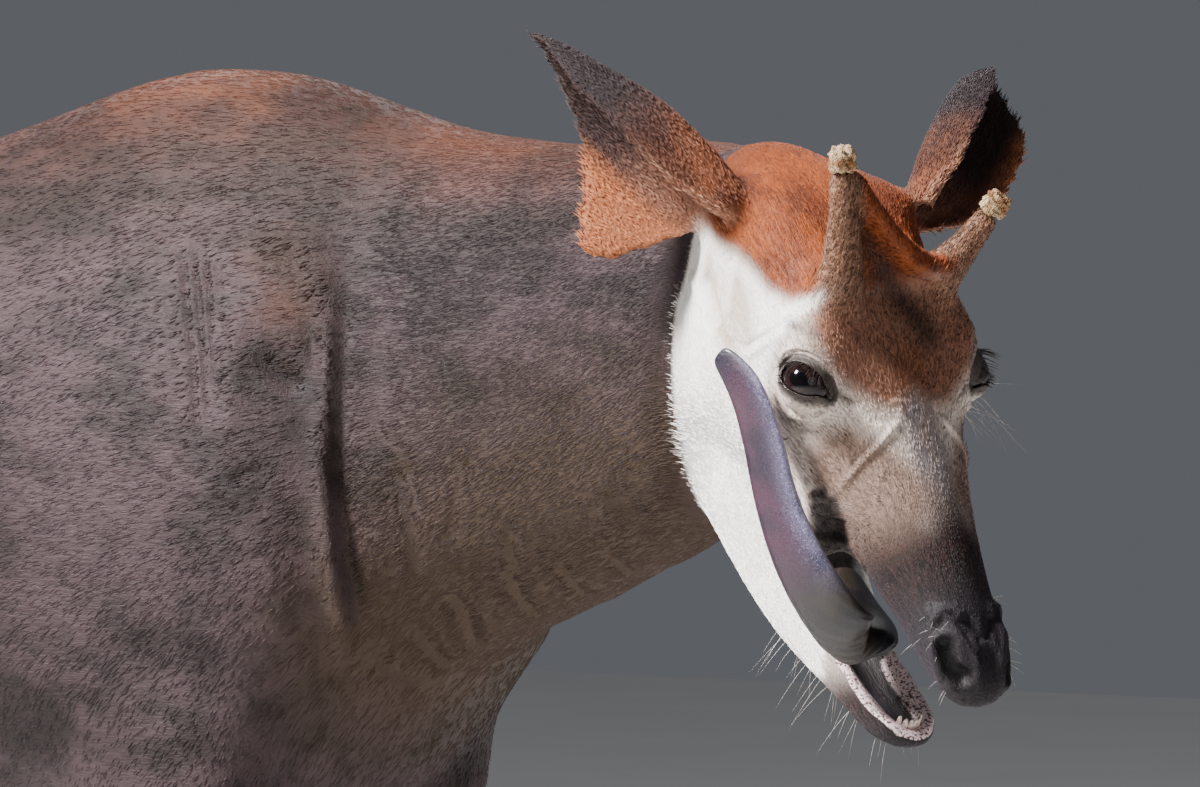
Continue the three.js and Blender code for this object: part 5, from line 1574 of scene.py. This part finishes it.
# Long hairs: lashes, whiskers and the locks of the tail
def hair_nodes():
    g = Growth("hairs along lines", Sides="Int")
    curve = g.node("GeometryNodeMeshToCurve", ("Mesh", g.start["Geometry"]))
    thick = g.read("thick", "FLOAT")
    sized = g.node("GeometryNodeSetCurveRadius", ("Curve", curve.outputs[0]), ("Radius", thick))
    ring = g.node("GeometryNodeCurvePrimitiveCircle", ("Resolution", g.start["Sides"]), ("Radius", 1.0))
    tube = g.node("GeometryNodeCurveToMesh", ("Curve", sized.outputs[0]), ("Profile Curve", ring.outputs["Curve"]),
                  ("Fill Caps", True))
    if "Scale" in tube.inputs:
        g.put(tube.inputs["Scale"], thick)
    return g.finish(g.realized(tube.outputs[0]))


def hairs(name, tree, material, roots, headings, bends, lengths, thick, sides=4, steps=7):
    """Tapered hairs as one piece: each leaves its root along its heading and bows towards its bend."""
    t = np.linspace(0, 1, steps)[None, :, None]
    points = roots[:, None] + lengths[:, None, None] * (unit(headings)[:, None] * t + bends[:, None] * t ** 2)
    index = np.arange(len(roots) * steps).reshape(-1, steps)
    edges = np.stack([index[:, :-1], index[:, 1:]], axis=-1).reshape(-1, 2)
    mesh = bpy.data.meshes.new("lines")
    mesh.from_pydata(to_row(points.reshape(-1, 3)).tolist(), edges.tolist(), [])
    hold(mesh, {"thick": np.tile((1.02 - t.ravel() ** 1.6) * thick, len(roots)) / 1000})
    settle(tree.grown(name, mesh, "thick", Material=material, Sides=sides), material, "hair")


LASHES = (54, 18)             # on the upper and the lower lid
LASH_LENGTHS = (17, 6)
LOCKS = 340
LOCK_LENGTHS = (60, 130)
LOCKS_FROM = 45               # over the tail hair's lower end
LASH_THICK, WHISKER_THICK, LOCK_THICK = 0.32, 0.15, 0.9


def lashes(side, name, tree, rng):
    eye = EyeFrame(side)
    angle = np.concatenate([rng.uniform(0.25, 2.95, LASHES[0]), rng.uniform(3.5, 5.9, LASHES[1])])
    count, upper = len(angle), angle < math.pi
    place = opening_rim(angle) * 1.03
    height = np.sqrt((EYE_RADIUS + LID) ** 2 - (place ** 2).sum(axis=1))
    outwards = unit(place)[:, 0]
    heading = np.column_stack([0.3 * outwards, np.where(upper, -0.42, -0.5), np.full(count, 0.85)])
    heading += rng.normal(0, 0.09, heading.shape)
    bend = np.column_stack([0.1 * outwards, np.where(upper, -0.12, 0.1), np.full(count, -0.1)])
    length = np.where(upper, LASH_LENGTHS[0] * np.sin(np.clip(angle, 0.35, 2.8)) ** 0.4, LASH_LENGTHS[1])
    length = length * rng.uniform(0.8, 1.15, count)
    turn = eye.axes.T @ HEAD_AXES.T
    roots = eye.back(np.column_stack([place, height]))
    hairs(name, tree, HAIR, roots, heading @ turn, bend @ turn, length, LASH_THICK)


# where whiskers grow: a test in the head frame of places and the way they face, how many, the shortest and the
# longest, and their lean
WHISKERS = {
    "chin": (lambda x, y, z, f: (z < -118) & (x > 330) & (x < 478) & (f[:, 2] < -0.2), 44, 18, 46,
             (0.25, 0, -0.25)),
    "brow": (lambda x, y, z, f: (y > 66) & (x > 228) & (x < 285) & (z > 12) & (z < 84) & (f[:, 1] > 0), 14, 30, 62,
             (0.3, 0, 0.1)),
    "muzzle": (lambda x, y, z, f: (x > 415) & (z > -95) & (np.abs(y) > 26) & (f[:, 0] < 0.5), 30, 6, 14,
               (0.2, 0, -0.5)),
}


def whiskers(skin, tree, rng):
    clear = (MARKS["mouth"] < 0.2) & (skin.held["lid"] > 9) & (MARKS["wet"] < 0.2) & (MARKS["gum"] < -6)
    for name, (where, count, short, long, lean) in WHISKERS.items():
        pool = np.flatnonzero(where(*skin.local.T, skin.facing) & clear)
        picked = rng.choice(pool, min(count, len(pool)), replace=False)
        heading = (skin.facing[picked] + lean + rng.normal(0, 0.22, (len(picked), 3))) @ HEAD_AXES.T
        bend = np.array([0.0, 0, -0.16]) + rng.normal(0, 0.05, (len(picked), 3))
        hairs(f"whiskers_{name}", tree, PALE_HAIR, skin.points[picked], heading, bend,
              rng.uniform(short, long, len(picked)), WHISKER_THICK)


def tail_locks(tree, rng):
    core = bpy.data.objects["tail_hair"].data
    points = places(core)
    away = np.array([v.normal for v in core.vertices])
    low = points[:, 2].min()
    pool = np.flatnonzero(points[:, 2] > low + LOCKS_FROM)
    picked = rng.choice(pool, min(LOCKS, len(pool)), replace=False)
    length = np.minimum(rng.uniform(*LOCK_LENGTHS, len(picked)), points[picked, 2] - low + 4)
    heading = 0.14 * away[picked] + [0, 0, -1.0] + rng.normal(0, 0.03, (len(picked), 3))
    hairs("tail_locks", tree, HAIR, points[picked], heading, 0.05 * away[picked] * [1, 1, 0], length, LOCK_THICK, 3)


def grow_hairs():
    rng = np.random.default_rng(HAIR_SEED)
    tree = hair_nodes()
    for side, sign in SIDES.items():
        lashes(sign, f"lashes_{side}", tree, rng)
    whiskers(skin_form, tree, rng)
    tail_locks(tree, rng)


grow_coat()
grow_hairs()

# Floor and light
FLOOR_REACH = 14
FLOOR_DEPTH = 0.001           # below the soles, so that the two never coincide
# light: its place, where it points, its size and its power
LIGHTS = {"key": ((-1.2, -2.8, 4.8), (0.4, 0, 1.1), 1.0, 1150),
          "fill": ((4.6, -2.6, 2.2), (0.6, 0, 1.2), 3.0, 26),
          "rim": ((-2.4, 3.4, 3.8), (0, 0, 1.2), 2.2, 70)}
DAYLIGHT = (0.86, 0.9, 1.0, 1)
DAYLIGHT_STRENGTH = 0.13


def add_stage():
    m = Finish("pale studio floor", Roughness=0.85, Specular_IOR_Level=0.2)
    material = m.done(m.mix(m.noise(m.object_place(), 3.0), (222, 220, 216), (232, 230, 227)))
    corners = [(x * FLOOR_REACH, y * FLOOR_REACH, -FLOOR_DEPTH) for x, y in ((-1, -1), (1, -1), (1, 1), (-1, 1))]
    mesh = bpy.data.meshes.new("studio_floor")
    mesh.from_pydata(corners, [], [(0, 1, 2, 3)])
    mesh.materials.append(material)
    linked("studio_floor", mesh)
    for name, (place, aim, size, power) in LIGHTS.items():
        data = bpy.data.lights.new(name, "AREA")
        data.shape = "DISK"
        data.size = size
        data.energy = power
        lamp = linked(name, data)
        lamp.matrix_world = (Vector(place) - Vector(aim)).to_track_quat("Z", "Y").to_matrix().to_4x4()
        lamp.matrix_world.translation = place
    world = bpy.data.worlds.new("soft daylight")
    world.use_nodes = True
    background = world.node_tree.nodes["Background"].inputs
    background["Color"].default_value = DAYLIGHT
    background["Strength"].default_value = DAYLIGHT_STRENGTH
    bpy.context.scene.world = world


add_stage()
